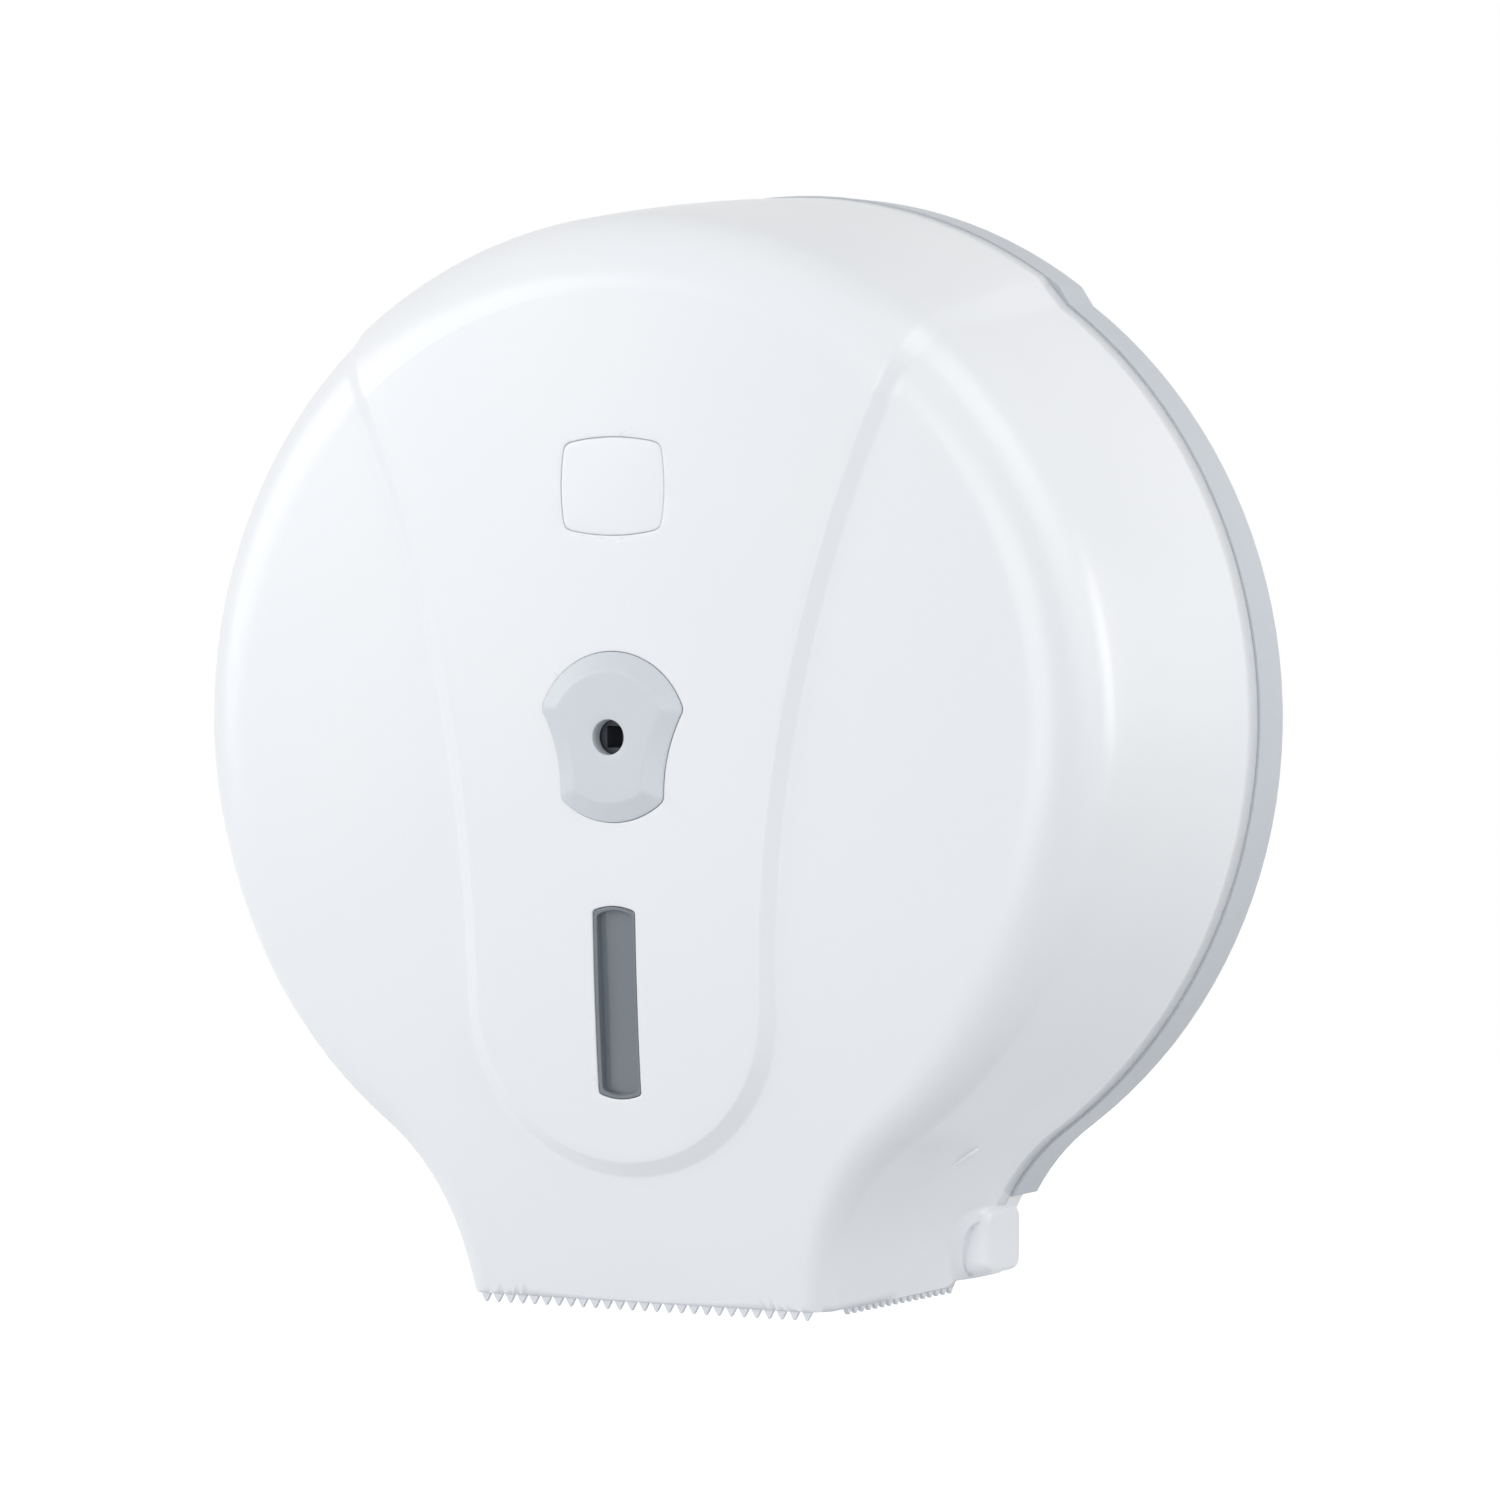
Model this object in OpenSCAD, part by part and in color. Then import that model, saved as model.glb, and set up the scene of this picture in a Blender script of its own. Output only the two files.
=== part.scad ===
// Wall-mounted jumbo toilet roll dispenser, closed.
// The origin lies on the wall plane, on the axis of the roll; the front faces -Y.
// "Depth" is the distance from the wall, so a point at depth d has y = -d.

/* [Body] */
// Radius of the round body at the wall
body_r = 138; // [133:1:146]
// Depth from the wall to the plain front face
body_depth = 117; // [112:1:125]
// Thickness of the moulded front cover
cover_wall = 2.5; // [2:0.1:3]
// Draft of the side wall in degrees
side_draft = 2.5; // [2:0.25:4]
// Radius of the edge between the front face and the side wall
edge_r = 18; // [14:1:20]
// How far the front face bows back at the rim
face_bow = 3; // [1:0.5:4]

/* [Crown and raised panel] */
// Height of the crown above the round body at the wall
crown_rise = 3.8; // [3:0.2:5]
// Draft of the crown in degrees
crown_draft = 5.2; // [4.6:0.1:5.6]
// Angle from the top to the middle of the crown's step at the wall
crown_angle = 33.5; // [30:0.5:36]
// Angle from the top to the middle of the crown's step at the front
crown_front_angle = 40.5; // [38:0.5:43]
// Height of the raised panel above the front face
panel_rise = 2.6; // [1.5:0.1:3]
// Radius of the panel's round foot
panel_foot_r = 43; // [38:1:46]
// Height of the centre of the panel's round foot
panel_foot_z = -75; // [-80:1:-70]
// Width of the sloped band round the panel
panel_band = 4; // [3:0.5:5]

/* [Neck] */
// Half the width of the paper mouth, where its side walls would meet the wall
mouth_half_w = 57.6; // [55:0.2:60]
// Distance from the bottom of the round body down to the mouth
mouth_below = 14.8; // [13:0.2:20]
// Lean of the neck's flanks at the wall in degrees
neck_lean = 16.2; // [14:0.2:18]
// Lean of the neck's flanks at the front in degrees
neck_front_lean = 10.6; // [8:0.2:13]
// Radius of the hollow curve from the round body into the neck
neck_fillet = 58; // [50:1:64]
// How far the front face falls back at the mouth
face_fall = 14; // [11:0.5:17]
// Radius of the neck's upright front edges at the mouth
neck_edge_r = 6.5; // [5:0.5:9]

/* [Tear teeth] */
// Distance from tooth to tooth
tooth_pitch = 3.7; // [3.4:0.1:4.4]
// Length of a tooth below the mouth
tooth_h = 2.4; // [2:0.1:3.2]
// Thickness of the teeth
tooth_t = 1.4; // [1:0.1:1.8]

/* [Back plate] */
// Depth of the back plate's rim
base_depth = 15; // [13:0.5:17]
// Thickness of the back plate's rim
base_wall = 2.5; // [2:0.1:3]
// Thickness of the back plate's floor
base_floor = 3; // [2.5:0.1:3.5]
// Height of the back plate's shoulders above the bottom of the round body
base_lift = 8.5; // [7:0.5:14]
// Distance between the wall holes across
fix_w = 140; // [120:2:150]
// Distance between the wall holes up and down
fix_h = 110; // [100:2:120]
// Diameter of the wall holes
fix_hole_d = 5.5; // [4.5:0.5:6.5]

/* [Spindle and hub] */
// Radius of the fixed spindle
spindle_r = 13; // [12:0.5:14]
// Radius of the spindle's foot
spindle_foot_r = 28; // [26:0.5:30]
// Radius over the fins that hold the roll's core
hub_r = 22; // [21:0.5:24]
// Radius of the turning hub's sleeve
hub_sleeve_r = 16.5; // [16:0.5:17.5]
// Number of fins on the hub
hub_fins = 6; // [4:1:8]

/* [Hinge] */
// Depth of the hinge axis
hinge_depth = 16.5; // [15.5:0.5:17.5]
// Height of the hinge axis above the mouth
hinge_lift = 9.4; // [8.6:0.2:10.2]
// Radius of the hinge pins
hinge_pin_r = 2.5; // [2:0.1:2.8]
// Distance from the middle to the knuckle's outer face
knuckle_x = 65.2; // [63:0.2:66]

/* [Lock] */
// Height of the lock axis
lock_z = -3.6; // [-5:0.2:-2]
// Radius of the lock plate
plate_r = 22.2; // [21:0.2:24]
// Height of the lock plate above the panel
plate_rise = 2.3; // [1.8:0.1:2.8]
// Diameter of the key hole
key_hole_d = 9.2; // [8.6:0.2:9.8]
// Side of the square key socket
key_square = 5.7; // [5:0.1:6]
// Radius of the lock barrel
barrel_r = 6; // [5.5:0.1:6.2]

/* [Window] */
// Width of the window
window_w = 12.4; // [11:0.2:14]
// Height of the window
window_h = 50.4; // [44:0.4:54]
// Height of the window's middle
window_z = -73; // [-75:0.5:-71]
// How far the clear pane lies behind the panel
pane_depth = 3.2; // [2.6:0.1:3.6]

/* [Badge] */
// Width of the blank badge
badge_w = 30.5; // [26:0.5:34]
// Height of the blank badge
badge_h = 25.5; // [22:0.5:28]
// Height of the badge's middle
badge_z = 61.6; // [58:0.5:66]

/* [Hidden] */
$fn = 64;

// Clearances
fit = 0.05;
pin_fit = 0.02;
seat_gap = 0.15;
rim_gap = 0.3;
lip_gap = 0.6;
past = 1;

// Outline of the round body, its crown and its neck
mouth_drop = body_r + mouth_below;
hinge_drop = mouth_drop - hinge_lift;
base_drop = body_r - base_lift;
cover_back = base_depth + rim_gap;
crown_lift = 8.3;
crown_drop = 4;
crown_swell = 1.8;
crown_ramp = 2.5;
crown_front_ramp = 1;
rim_step = 35.4;
rim_ramp = 1.2;
rim_overrun = 1.2;
fall_power = 2.8;
panel_power = 2.1;
neck_ease = 125;
mouth_spare = 24;

function lerp(a, b, t) = a + (b - a) * t;
function ease(t) = let (c = min(1, max(0, t))) c * c * (3 - 2 * c);
function drum_r(d) = body_r - d * tan(side_draft);
function face_depth(x, z) =
    body_depth - face_bow * pow(x / body_r, 2) - face_fall * pow(max(0, -z) / mouth_drop, fall_power);
function edge_radius(z) = lerp(neck_edge_r, edge_r, ease((z + mouth_drop) / neck_ease));

// The neck's flank at depth d: half the mouth's width, the lean, and the directions outwards and upwards
function mouth_w(d) = mouth_half_w - d * tan(side_draft);
function flank_lean(d) = lerp(neck_lean, neck_front_lean, d / body_depth);
function flank_out(d) = [cos(flank_lean(d)), -sin(flank_lean(d))];
function flank_up(d) = [sin(flank_lean(d)), cos(flank_lean(d))];

// Centre of the hollow neck curve: it touches the round body and the leaning flank
function fillet_centre(d) =
    let (
        up = flank_up(d),
        start = [mouth_w(d), -mouth_drop] + neck_fillet * flank_out(d),
        reach = drum_r(d) + neck_fillet,
        along = start * up
    )
    start + up * (-along - sqrt(along * along - start * start + reach * reach));

// The right half of the outline, from the top to the middle of the mouth, in four stretches
round_steps = 28;
hollow_steps = 6;
flank_steps = 3;
half_steps = round_steps + hollow_steps + flank_steps + 1;
function flank_foot(d, inset) =
    let (drop = mouth_spare - inset, lean = flank_lean(d))
    [mouth_w(d) - inset / cos(lean) - drop * tan(lean), -mouth_drop - drop];
function outline_point(k, d, inset) =
    let (c = fillet_centre(d), r = drum_r(d) - inset, out = flank_out(d))
    k <= round_steps ?
        let (a = atan2(c[0], c[1]) * k / round_steps) [r * sin(a), r * cos(a)]
    : k <= round_steps + hollow_steps ?
        let (
            from = atan2(-c[1], -c[0]),
            to = atan2(-out[1], -out[0]),
            a = lerp(from, to, (k - round_steps) / hollow_steps)
        )
        c + (neck_fillet + inset) * [cos(a), sin(a)]
    : k < half_steps ?
        let (
            from = c - (neck_fillet + inset) * out,
            t = (k - round_steps - hollow_steps) / flank_steps
        )
        lerp(from, flank_foot(d, inset), t)
    : [0, inset - mouth_drop - mouth_spare];

// A whole ring of outline points, where each column has its own depth and inset
columns = 2 * half_steps;
function column_step(k) = k <= half_steps ? k : columns - k;
function column_side(k) = k <= half_steps ? 1 : -1;
function skin_point(k, turn, wall) =
    let (
        step = column_step(k),
        flat_in = outline_point(step, body_depth - edge_r, edge_r),
        r = max(edge_radius(flat_in[1]) - wall, 1),
        foot = outline_point(step, body_depth - edge_r, wall + r),
        depth = face_depth(foot[0], foot[1]) - wall - r * (1 - sin(turn)),
        p = outline_point(step, depth, wall + r * (1 - cos(turn)))
    )
    [column_side(k) * p[0], -depth, p[1]];
function back_point(k, wall) =
    let (p = outline_point(column_step(k), cover_back, wall)) [column_side(k) * p[0], -cover_back, p[1]];
function face_point(k, share, wall) =
    let (p = skin_point(k, 90, wall), x = p[0] * share, z = p[2] * share)
    [x, wall - face_depth(x, z), z];

edge_turns = [0, 18, 36, 54, 72, 90];
face_shares = [0.87, 0.73, 0.58, 0.42, 0.22];
function skin_rings(wall) = [
    [for (k = [0:columns - 1]) back_point(k, wall)],
    for (turn = edge_turns) [for (k = [0:columns - 1]) skin_point(k, turn, wall)],
    for (share = face_shares) [for (k = [0:columns - 1]) face_point(k, share, wall)]
];
function flatten(lists) = [for (l = lists) for (v = l) v];
function quad(a, b, c, d) = [[a, b, c], [a, c, d]];

// The plain cover: an outer and an inner skin, joined at the back edge
module cover_shell() {
    outer = skin_rings(0);
    inner = skin_rings(cover_wall);
    rows = len(outer);
    size = rows * columns;
    points = concat(
        flatten(outer), flatten(inner), [[0, -face_depth(0, 0), 0], [0, cover_wall - face_depth(0, 0), 0]]
    );
    skins = [
        for (j = [0:rows - 2]) for (k = [0:columns - 1])
            let (a = j * columns + k, b = j * columns + (k + 1) % columns)
            concat(
                quad(a, b, b + columns, a + columns),
                quad(size + a, size + a + columns, size + b + columns, size + b)
            )
    ];
    ends = [
        for (k = [0:columns - 1])
            let (n = (k + 1) % columns, last = (rows - 1) * columns)
            concat(
                quad(k, size + k, size + n, n),
                [[last + k, last + n, 2 * size], [size + last + n, size + last + k, 2 * size + 1]]
            )
    ];
    polyhedron(points = points, faces = concat(flatten(skins), flatten(ends)), convexity = 8);
}

// The crown and the raised panel: one skin draped down the front and over the top
crest_sink = 0.7;
crest_root = 1.5;
crest_columns = 18;
foot_turns = [12, 30, 48, 66, 84];
side_shares = [0.04, 0.15, 0.28, 0.42, 0.56, 0.7, 0.82, 0.92, 1];
over_turns = [74, 56, 38, 20, 0];
crown_depths = [60, cover_back];
function crown_r(a, d) =
    // A circle whose centre sinks from the wall to the front, and that swells a little half way
    let (
        share = d / body_depth,
        zc = lerp(crown_lift, -crown_drop, share),
        swell = 4 * crown_swell * share * (1 - share),
        r = body_r + crown_rise - d * tan(crown_draft) - zc + swell
    )
    zc * cos(a) + sqrt(r * r - pow(zc * sin(a), 2));
function step_angle(d) = lerp(crown_angle, crown_front_angle, d / body_depth);
function ramp_angle(d) = lerp(crown_ramp, crown_front_ramp, d / body_depth);
function column_share(c) =
    c == 0 ? -1 : c == crest_columns ? 1 : lerp(-1, 1, (c - 1) / (crest_columns - 2));
function is_edge(c) = c == 0 || c == crest_columns;

front_angle = crown_front_angle + crown_front_ramp;
front_r = crown_r(front_angle, body_depth - edge_r) - edge_r;
panel_top_half_w = front_r * sin(front_angle);
panel_top_z = front_r * cos(front_angle);
function panel_half_w(z) =
    let (share = (z - panel_foot_z) / (panel_top_z - panel_foot_z))
    lerp(panel_foot_r, panel_top_half_w, pow(share, panel_power));

// Each front row gives [x, z] for a column; root is true for the buried side
function foot_xz(turn, c, all_edge) =
    let (r = is_edge(c) || all_edge ? panel_foot_r : panel_foot_r - panel_band)
    [column_share(c) * r * sin(turn), panel_foot_z - r * cos(turn)];
function side_xz(share, c) =
    let (
        z = lerp(panel_foot_z, panel_top_z, share),
        w = panel_half_w(z),
        x = column_share(c) * (is_edge(c) ? w : w - panel_band),
        bend = ease(share) * w / sin(front_angle)
    )
    [x, z + bend * (sqrt(1 - pow(x / w * sin(front_angle), 2)) - cos(front_angle))];
function front_row(xz, root, all_edge) = [
    for (c = [0:crest_columns])
        let (lift = root ? -crest_root : is_edge(c) || all_edge ? -crest_sink : panel_rise)
        [xz[c][0], -face_depth(xz[c][0], xz[c][1]) - lift, xz[c][1]]
];
function drum_point(a, turn, wall) =
    let (
        r = edge_r - wall,
        foot = drum_r(body_depth - edge_r) - edge_r,
        d = face_depth(foot * sin(a), 0) - wall - r * (1 - sin(turn)),
        out = drum_r(d) - wall - r * (1 - cos(turn))
    )
    [out * sin(a), -d, out * cos(a)];
function over_row(turn, root) =
    let (d0 = body_depth - edge_r * (1 - sin(turn)))
    [
        for (c = [0:crest_columns])
            let (
                a = column_share(c) * (step_angle(d0) + (is_edge(c) ? 1 : -1) * ramp_angle(d0)),
                d = d0 + panel_rise - face_bow * pow(front_r * sin(a) / body_r, 2),
                r = crown_r(a, d) - edge_r * (1 - cos(turn))
            )
            root ? drum_point(a, turn, crest_root)
            : is_edge(c) ? drum_point(a, turn, crest_sink)
            : [r * sin(a), -d, r * cos(a)]
    ];
function crown_row(d, root) = [
    for (c = [0:crest_columns])
        let (
            a = column_share(c) * (step_angle(d) + (is_edge(c) ? 1 : -1) * ramp_angle(d)),
            r = root ? drum_r(d) - crest_root : is_edge(c) ? drum_r(d) - crest_sink : crown_r(a, d)
        )
        [r * sin(a), -d, r * cos(a)]
];
function crest_skin(root) = let (every = [0:crest_columns]) concat(
    [front_row([for (c = every) foot_xz(foot_turns[0] / 2, c, true)], root, true)],
    [for (turn = foot_turns) front_row([for (c = every) foot_xz(turn, c, false)], root, false)],
    [for (share = side_shares) front_row([for (c = every) side_xz(share, c)], root, false)],
    [for (turn = over_turns) over_row(turn, root)],
    [for (d = crown_depths) crown_row(d, root)]
);
module crest() {
    top = crest_skin(false);
    root = crest_skin(true);
    rows = len(top);
    across = crest_columns + 1;
    size = rows * across;
    skins = [
        for (j = [0:rows - 2]) for (c = [0:crest_columns - 1])
            let (a = j * across + c)
            concat(
                quad(a, a + across, a + across + 1, a + 1),
                quad(size + a, size + a + 1, size + a + across + 1, size + a + across)
            )
    ];
    flanks = [
        for (j = [0:rows - 2])
            let (a = j * across, b = a + crest_columns)
            concat(
                quad(a, size + a, size + a + across, a + across),
                quad(b, b + across, size + b + across, size + b)
            )
    ];
    ends = [
        for (c = [0:crest_columns - 1])
            let (a = c, b = (rows - 1) * across + c)
            concat(quad(a, a + 1, size + a + 1, size + a), quad(b, size + b, size + b + 1, b + 1))
    ];
    polyhedron(
        points = concat(flatten(top), flatten(root)),
        faces = concat(flatten(skins), flatten(flanks), flatten(ends)),
        convexity = 8
    );
}

// Turns a drawing in X and Z, extruded along Z, into a slab from one depth to another
module slab(from_depth, to_depth) {
    translate([0, -from_depth, 0])
        rotate([90, 0, 0])
            linear_extrude(to_depth - from_depth)
                children();
}
module rod(r, from_depth, to_depth, x = 0, z = 0) {
    translate([x, -from_depth, z])
        rotate([90, 0, 0])
            cylinder(r = r, h = to_depth - from_depth);
}
module cross_rod(r, from_x, to_x, depth, z) {
    translate([from_x, -depth, z])
        rotate([0, 90, 0])
            cylinder(r = r, h = to_x - from_x);
}
module block(x, depth, z) {
    translate([x[0], -depth[1], z[0]])
        cube([x[1] - x[0], depth[1] - depth[0], z[1] - z[0]]);
}
module both_sides() {
    children();
    mirror([1, 0, 0])
        children();
}
sides = [-1, 1];

// Outline of the back plate
module base_outline(inset) {
    c = fillet_centre(0);
    r = body_r - inset;
    top = body_r + crown_rise;
    root = c * (r - base_wall) / norm(c);
    a_low = rim_step + rim_ramp;
    a_high = rim_step - rim_ramp;
    low = r * [sin(a_low), cos(a_low)];
    shoulder = (crown_r(a_high, 0) - inset) * [sin(a_high), cos(a_high)];
    high = lerp(low, shoulder, rim_overrun);
    circle(r = r);
    intersection() {
        translate([0, crown_lift])
            circle(r = top - crown_lift - inset);
        polygon([
            [0, 0], low, high, [high[0], top + past], [-high[0], top + past],
            [-high[0], high[1]], [-low[0], low[1]]
        ]);
    }
    difference() {
        polygon([
            [-root[0], root[1]], [root[0], root[1]],
            [c[0], inset - base_drop], [-c[0], inset - base_drop]
        ]);
        for (side = sides)
            translate([side * c[0], c[1]])
                circle(r = neck_fillet + inset);
    }
}

// Back plate: floor, rim, locating lip, wall bosses, spindle pad, ribs and hinge ears
pad_r = spindle_foot_r + 2;
pad_depth = 8;
boss_r = 8;
boss_depth = 6;
head_r = 5;
head_sink = 3;
rib_t = 2;
rib_depth = base_floor + 3;
rib_rings = [60, 100];
rib_count = 12;
rib_turn = 15;
spoke_depth = rib_depth - 1;
lip_t = 1.6;
lip_depth = cover_back + 4;
lip_angle = 125;
lip_r = drum_r(lip_depth) - cover_wall - lip_gap;
ear_x = 45.5;
ear_t = 6;
ear_r = 7;
ear_top = base_drop - base_wall;
screw_ring = 22;
screw_r = 1.5;
screw_head_r = 3;
screw_head_h = 2;
screw_sink = 2.5;
module ring_rib(r, t, from_depth, to_depth) {
    difference() {
        rod(r, from_depth, to_depth);
        rod(r - t, from_depth - past, to_depth + past);
    }
}
module at_wall_holes() {
    for (x = [-fix_w / 2, fix_w / 2])
        for (z = [-fix_h / 2, fix_h / 2])
            translate([x, 0, z])
                children();
}
module at_spindle_screws() {
    for (k = [0:2])
        rotate([0, 90 + 120 * k, 0])
            translate([screw_ring, 0, 0])
                children();
}
module hinge_ears() {
    both_sides()
        translate([ear_x, 0, 0])
            rotate([90, 0, 90])
                linear_extrude(ear_t) {
                    translate([-hinge_depth, -hinge_drop])
                        circle(r = ear_r);
                    polygon([
                        [-hinge_depth - ear_r, -hinge_drop], [-hinge_depth + ear_r, -hinge_drop],
                        [-base_floor, -ear_top - base_wall], [-base_floor, -ear_top],
                        [-base_depth, -ear_top]
                    ]);
                }
}
module locating_lip() {
    rotate([90, 0, 0])
        translate([0, 0, base_depth - base_wall])
            rotate([0, 0, 90 - lip_angle])
                rotate_extrude(angle = 2 * lip_angle)
                    translate([lip_r - lip_t, 0])
                        square([lip_t, lip_depth - base_depth + base_wall]);
}
module lip_web() {
    rotate([90, 0, 0])
        translate([0, 0, base_depth - base_wall])
            rotate([0, 0, 90 - lip_angle])
                rotate_extrude(angle = 2 * lip_angle)
                    translate([lip_r - lip_t, 0])
                        square([body_r - base_wall / 2 - lip_r + lip_t, base_wall]);
}
module back_plate() {
    color("lightgray")
        difference() {
            union() {
                slab(0, base_floor)
                    base_outline(0);
                difference() {
                    slab(0, base_depth)
                        base_outline(0);
                    slab(-past, base_depth + past)
                        base_outline(base_wall);
                }
                locating_lip();
                lip_web();
                rod(pad_r, 0, pad_depth);
                for (r = rib_rings)
                    ring_rib(r + rib_t / 2, rib_t, 0, rib_depth);
                for (k = [0:rib_count - 1])
                    rotate([0, rib_turn + 360 * k / rib_count, 0])
                        block([pad_r - past, rib_rings[1]], [past, spoke_depth], [-rib_t / 2, rib_t / 2]);
                at_wall_holes()
                    rod(boss_r, 0, boss_depth);
                hinge_ears();
            }
            at_wall_holes() {
                rod(fix_hole_d / 2, -past, boss_depth + past);
                rod(head_r, boss_depth - head_sink, boss_depth + past);
            }
            at_spindle_screws() {
                rod(screw_r + pin_fit, -past, pad_depth + past);
                rod(screw_head_r + fit, -past, screw_sink);
            }
            both_sides()
                cross_rod(hinge_pin_r + pin_fit, ear_x - past, ear_x + ear_t + past,
                    hinge_depth, -hinge_drop);
        }
}

// Fixed spindle with the parts that turn and lock on it
foot_t = 4;
foot_depth = pad_depth + foot_t;
washer_t = 1;
washer_w = 8;
lock_stack = 25;
spindle_end = body_depth - lock_stack;
spindle_wall = 3;
end_t = 4;
catch_t = 1.5;
catch_screw_x = 8;
catch_screw_len = 4;
module roll_spindle() {
    color("white")
        difference() {
            union() {
                rod(spindle_foot_r, pad_depth, foot_depth);
                rod(spindle_r, pad_depth, spindle_end);
            }
            rod(spindle_r - spindle_wall, pad_depth - past, spindle_end - end_t);
            at_spindle_screws()
                rod(screw_r + pin_fit, pad_depth - past, foot_depth - past / 2);
            for (x = [-catch_screw_x, catch_screw_x])
                rod(screw_r + pin_fit, spindle_end - end_t - past, spindle_end + past, x);
        }
}
module spindle_screws() {
    color("silver")
        at_spindle_screws() {
            rod(screw_head_r, screw_sink - screw_head_h, screw_sink);
            rod(screw_r, screw_sink - screw_head_h, foot_depth - past);
        }
}
module brake_washer() {
    color("dimgray")
        ring_rib(spindle_r + washer_w, washer_w - fit, foot_depth, foot_depth + washer_t);
}
hub_back = foot_depth + washer_t;
hub_front = spindle_end - washer_t;
hub_flange_w = 8;
hub_flange_t = 2.5;
fin_t = 2.4;
fin_lead = 3;
module hub_fin() {
    mirror([0, 1, 0])
        translate([0, 0, -fin_t / 2])
            linear_extrude(fin_t)
                polygon([
                    [hub_sleeve_r - past, hub_back], [hub_r, hub_back], [hub_r, hub_front - fin_lead],
                    [hub_r - fin_lead, hub_front], [hub_sleeve_r - past, hub_front]
                ]);
}
module core_hub() {
    color("lightsteelblue")
        difference() {
            union() {
                rod(hub_sleeve_r, hub_back, hub_front);
                rod(hub_r + hub_flange_w, hub_back, hub_back + hub_flange_t);
                for (k = [0:hub_fins - 1])
                    rotate([0, 360 * k / hub_fins, 0])
                        hub_fin();
            }
            rod(spindle_r + fit, hub_back - past, hub_front + past);
        }
}
end_washer_w = 4;
module hub_washer() {
    color("whitesmoke")
        ring_rib(spindle_r + end_washer_w, end_washer_w - fit, hub_front, spindle_end);
}

// Steel catch: a plate on the spindle's end, a web above and a fork open at the bottom
catch_half_w = 13;
catch_top = 14;
catch_low = -13;
fork_gap = 9;
fork_reach = 10.6;
fork_front = spindle_end + fork_reach;
fork_back = fork_front - catch_t;
crotch_rise = 11;
module lock_catch() {
    wide = [-catch_half_w, catch_half_w];
    color("silver")
        difference() {
            union() {
                block(wide, [spindle_end, spindle_end + catch_t], [catch_low, catch_top]);
                block(wide, [spindle_end, fork_front], [catch_top - catch_t, catch_top]);
                block(wide, [fork_back, fork_front], [catch_low, catch_top]);
            }
            block([-fork_gap / 2, fork_gap / 2], [fork_back - past, fork_front + past],
                [catch_low - past, lock_z + crotch_rise]);
            for (x = [-catch_screw_x, catch_screw_x])
                rod(screw_r + pin_fit, spindle_end - past, spindle_end + catch_t + past, x);
        }
}
module catch_screws() {
    color("silver")
        for (x = [-catch_screw_x, catch_screw_x]) {
            rod(screw_r, spindle_end - catch_screw_len, spindle_end + catch_t + screw_head_h / 2, x);
            rod(screw_head_r, spindle_end + catch_t, spindle_end + catch_t + screw_head_h - fit, x);
        }
}

// Steel hinge pins: pressed into the ears, turning in the cover's knuckles
pin_head_r = 4;
pin_head_t = 1.5;
knuckle_skin = 2.2;
knuckle_end = knuckle_x - knuckle_skin;
module hinge_pins() {
    color("silver")
        both_sides() {
            cross_rod(hinge_pin_r, ear_x - pin_head_t, knuckle_end - rim_gap, hinge_depth, -hinge_drop);
            cross_rod(pin_head_r, ear_x - pin_head_t, ear_x, hinge_depth, -hinge_drop);
        }
}

// Front cover
panel_depth = body_depth + panel_rise;
skin_depth = body_depth - cover_wall;
knuckle_in_x = ear_x + ear_t + rim_gap;
knuckle_d = 18;
knuckle_h = 16.8;
knuckle_round = 3.4;
knuckle_rise = 1.4;
module rounded(w, h, r) {
    square([w - 2 * r, h], center = true);
    square([w, h - 2 * r], center = true);
    for (x = sides)
        for (y = sides)
            translate([x * (w / 2 - r), y * (h / 2 - r)])
                circle(r = r);
}
module knuckle() {
    translate([knuckle_in_x, -hinge_depth, -hinge_drop + knuckle_rise])
        rotate([90, 0, 90])
            linear_extrude(knuckle_x - knuckle_in_x)
                rounded(knuckle_d, knuckle_h, knuckle_round);
}

// A row of teeth hanging from the mouth, drawn in its own plane
tooth_tip = 0.2;
tooth_foot = 0.76;
tooth_back = 0.3;
module tooth_row(length) {
    count = floor(length / tooth_pitch);
    half = count * tooth_pitch / 2;
    root = tooth_h / 2;
    tip = tooth_pitch * tooth_tip / 2;
    foot = tooth_pitch * tooth_foot / 2;
    polygon(concat(
        [[half, root], [-half, root]],
        [
            for (k = [0:count - 1])
                let (x = -half + (k + 0.5) * tooth_pitch)
                each [[x - foot, 0], [x - tip, -tooth_h], [x + tip, -tooth_h], [x + foot, 0]]
        ]
    ));
}
mouth_face = body_depth - face_fall;
teeth_depth = mouth_face - face_bow * pow(mouth_w(mouth_face) / body_r, 2) - tooth_back;
corner_gap = 2.5;
side_teeth_from = hinge_depth + knuckle_d / 2;
side_teeth_to = teeth_depth - neck_edge_r + corner_gap;
side_teeth_mid = (side_teeth_from + side_teeth_to) / 2;
module tear_teeth() {
    translate([0, 0, -mouth_drop])
        slab(teeth_depth - tooth_t, teeth_depth)
            tooth_row(2 * (mouth_w(teeth_depth) - corner_gap));
    both_sides()
        translate([mouth_w(side_teeth_mid) - tooth_back, -side_teeth_mid, -mouth_drop])
            rotate([0, 0, -side_draft])
                rotate([90, 0, -90])
                    linear_extrude(tooth_t)
                        tooth_row(side_teeth_to - side_teeth_from);
}

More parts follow.
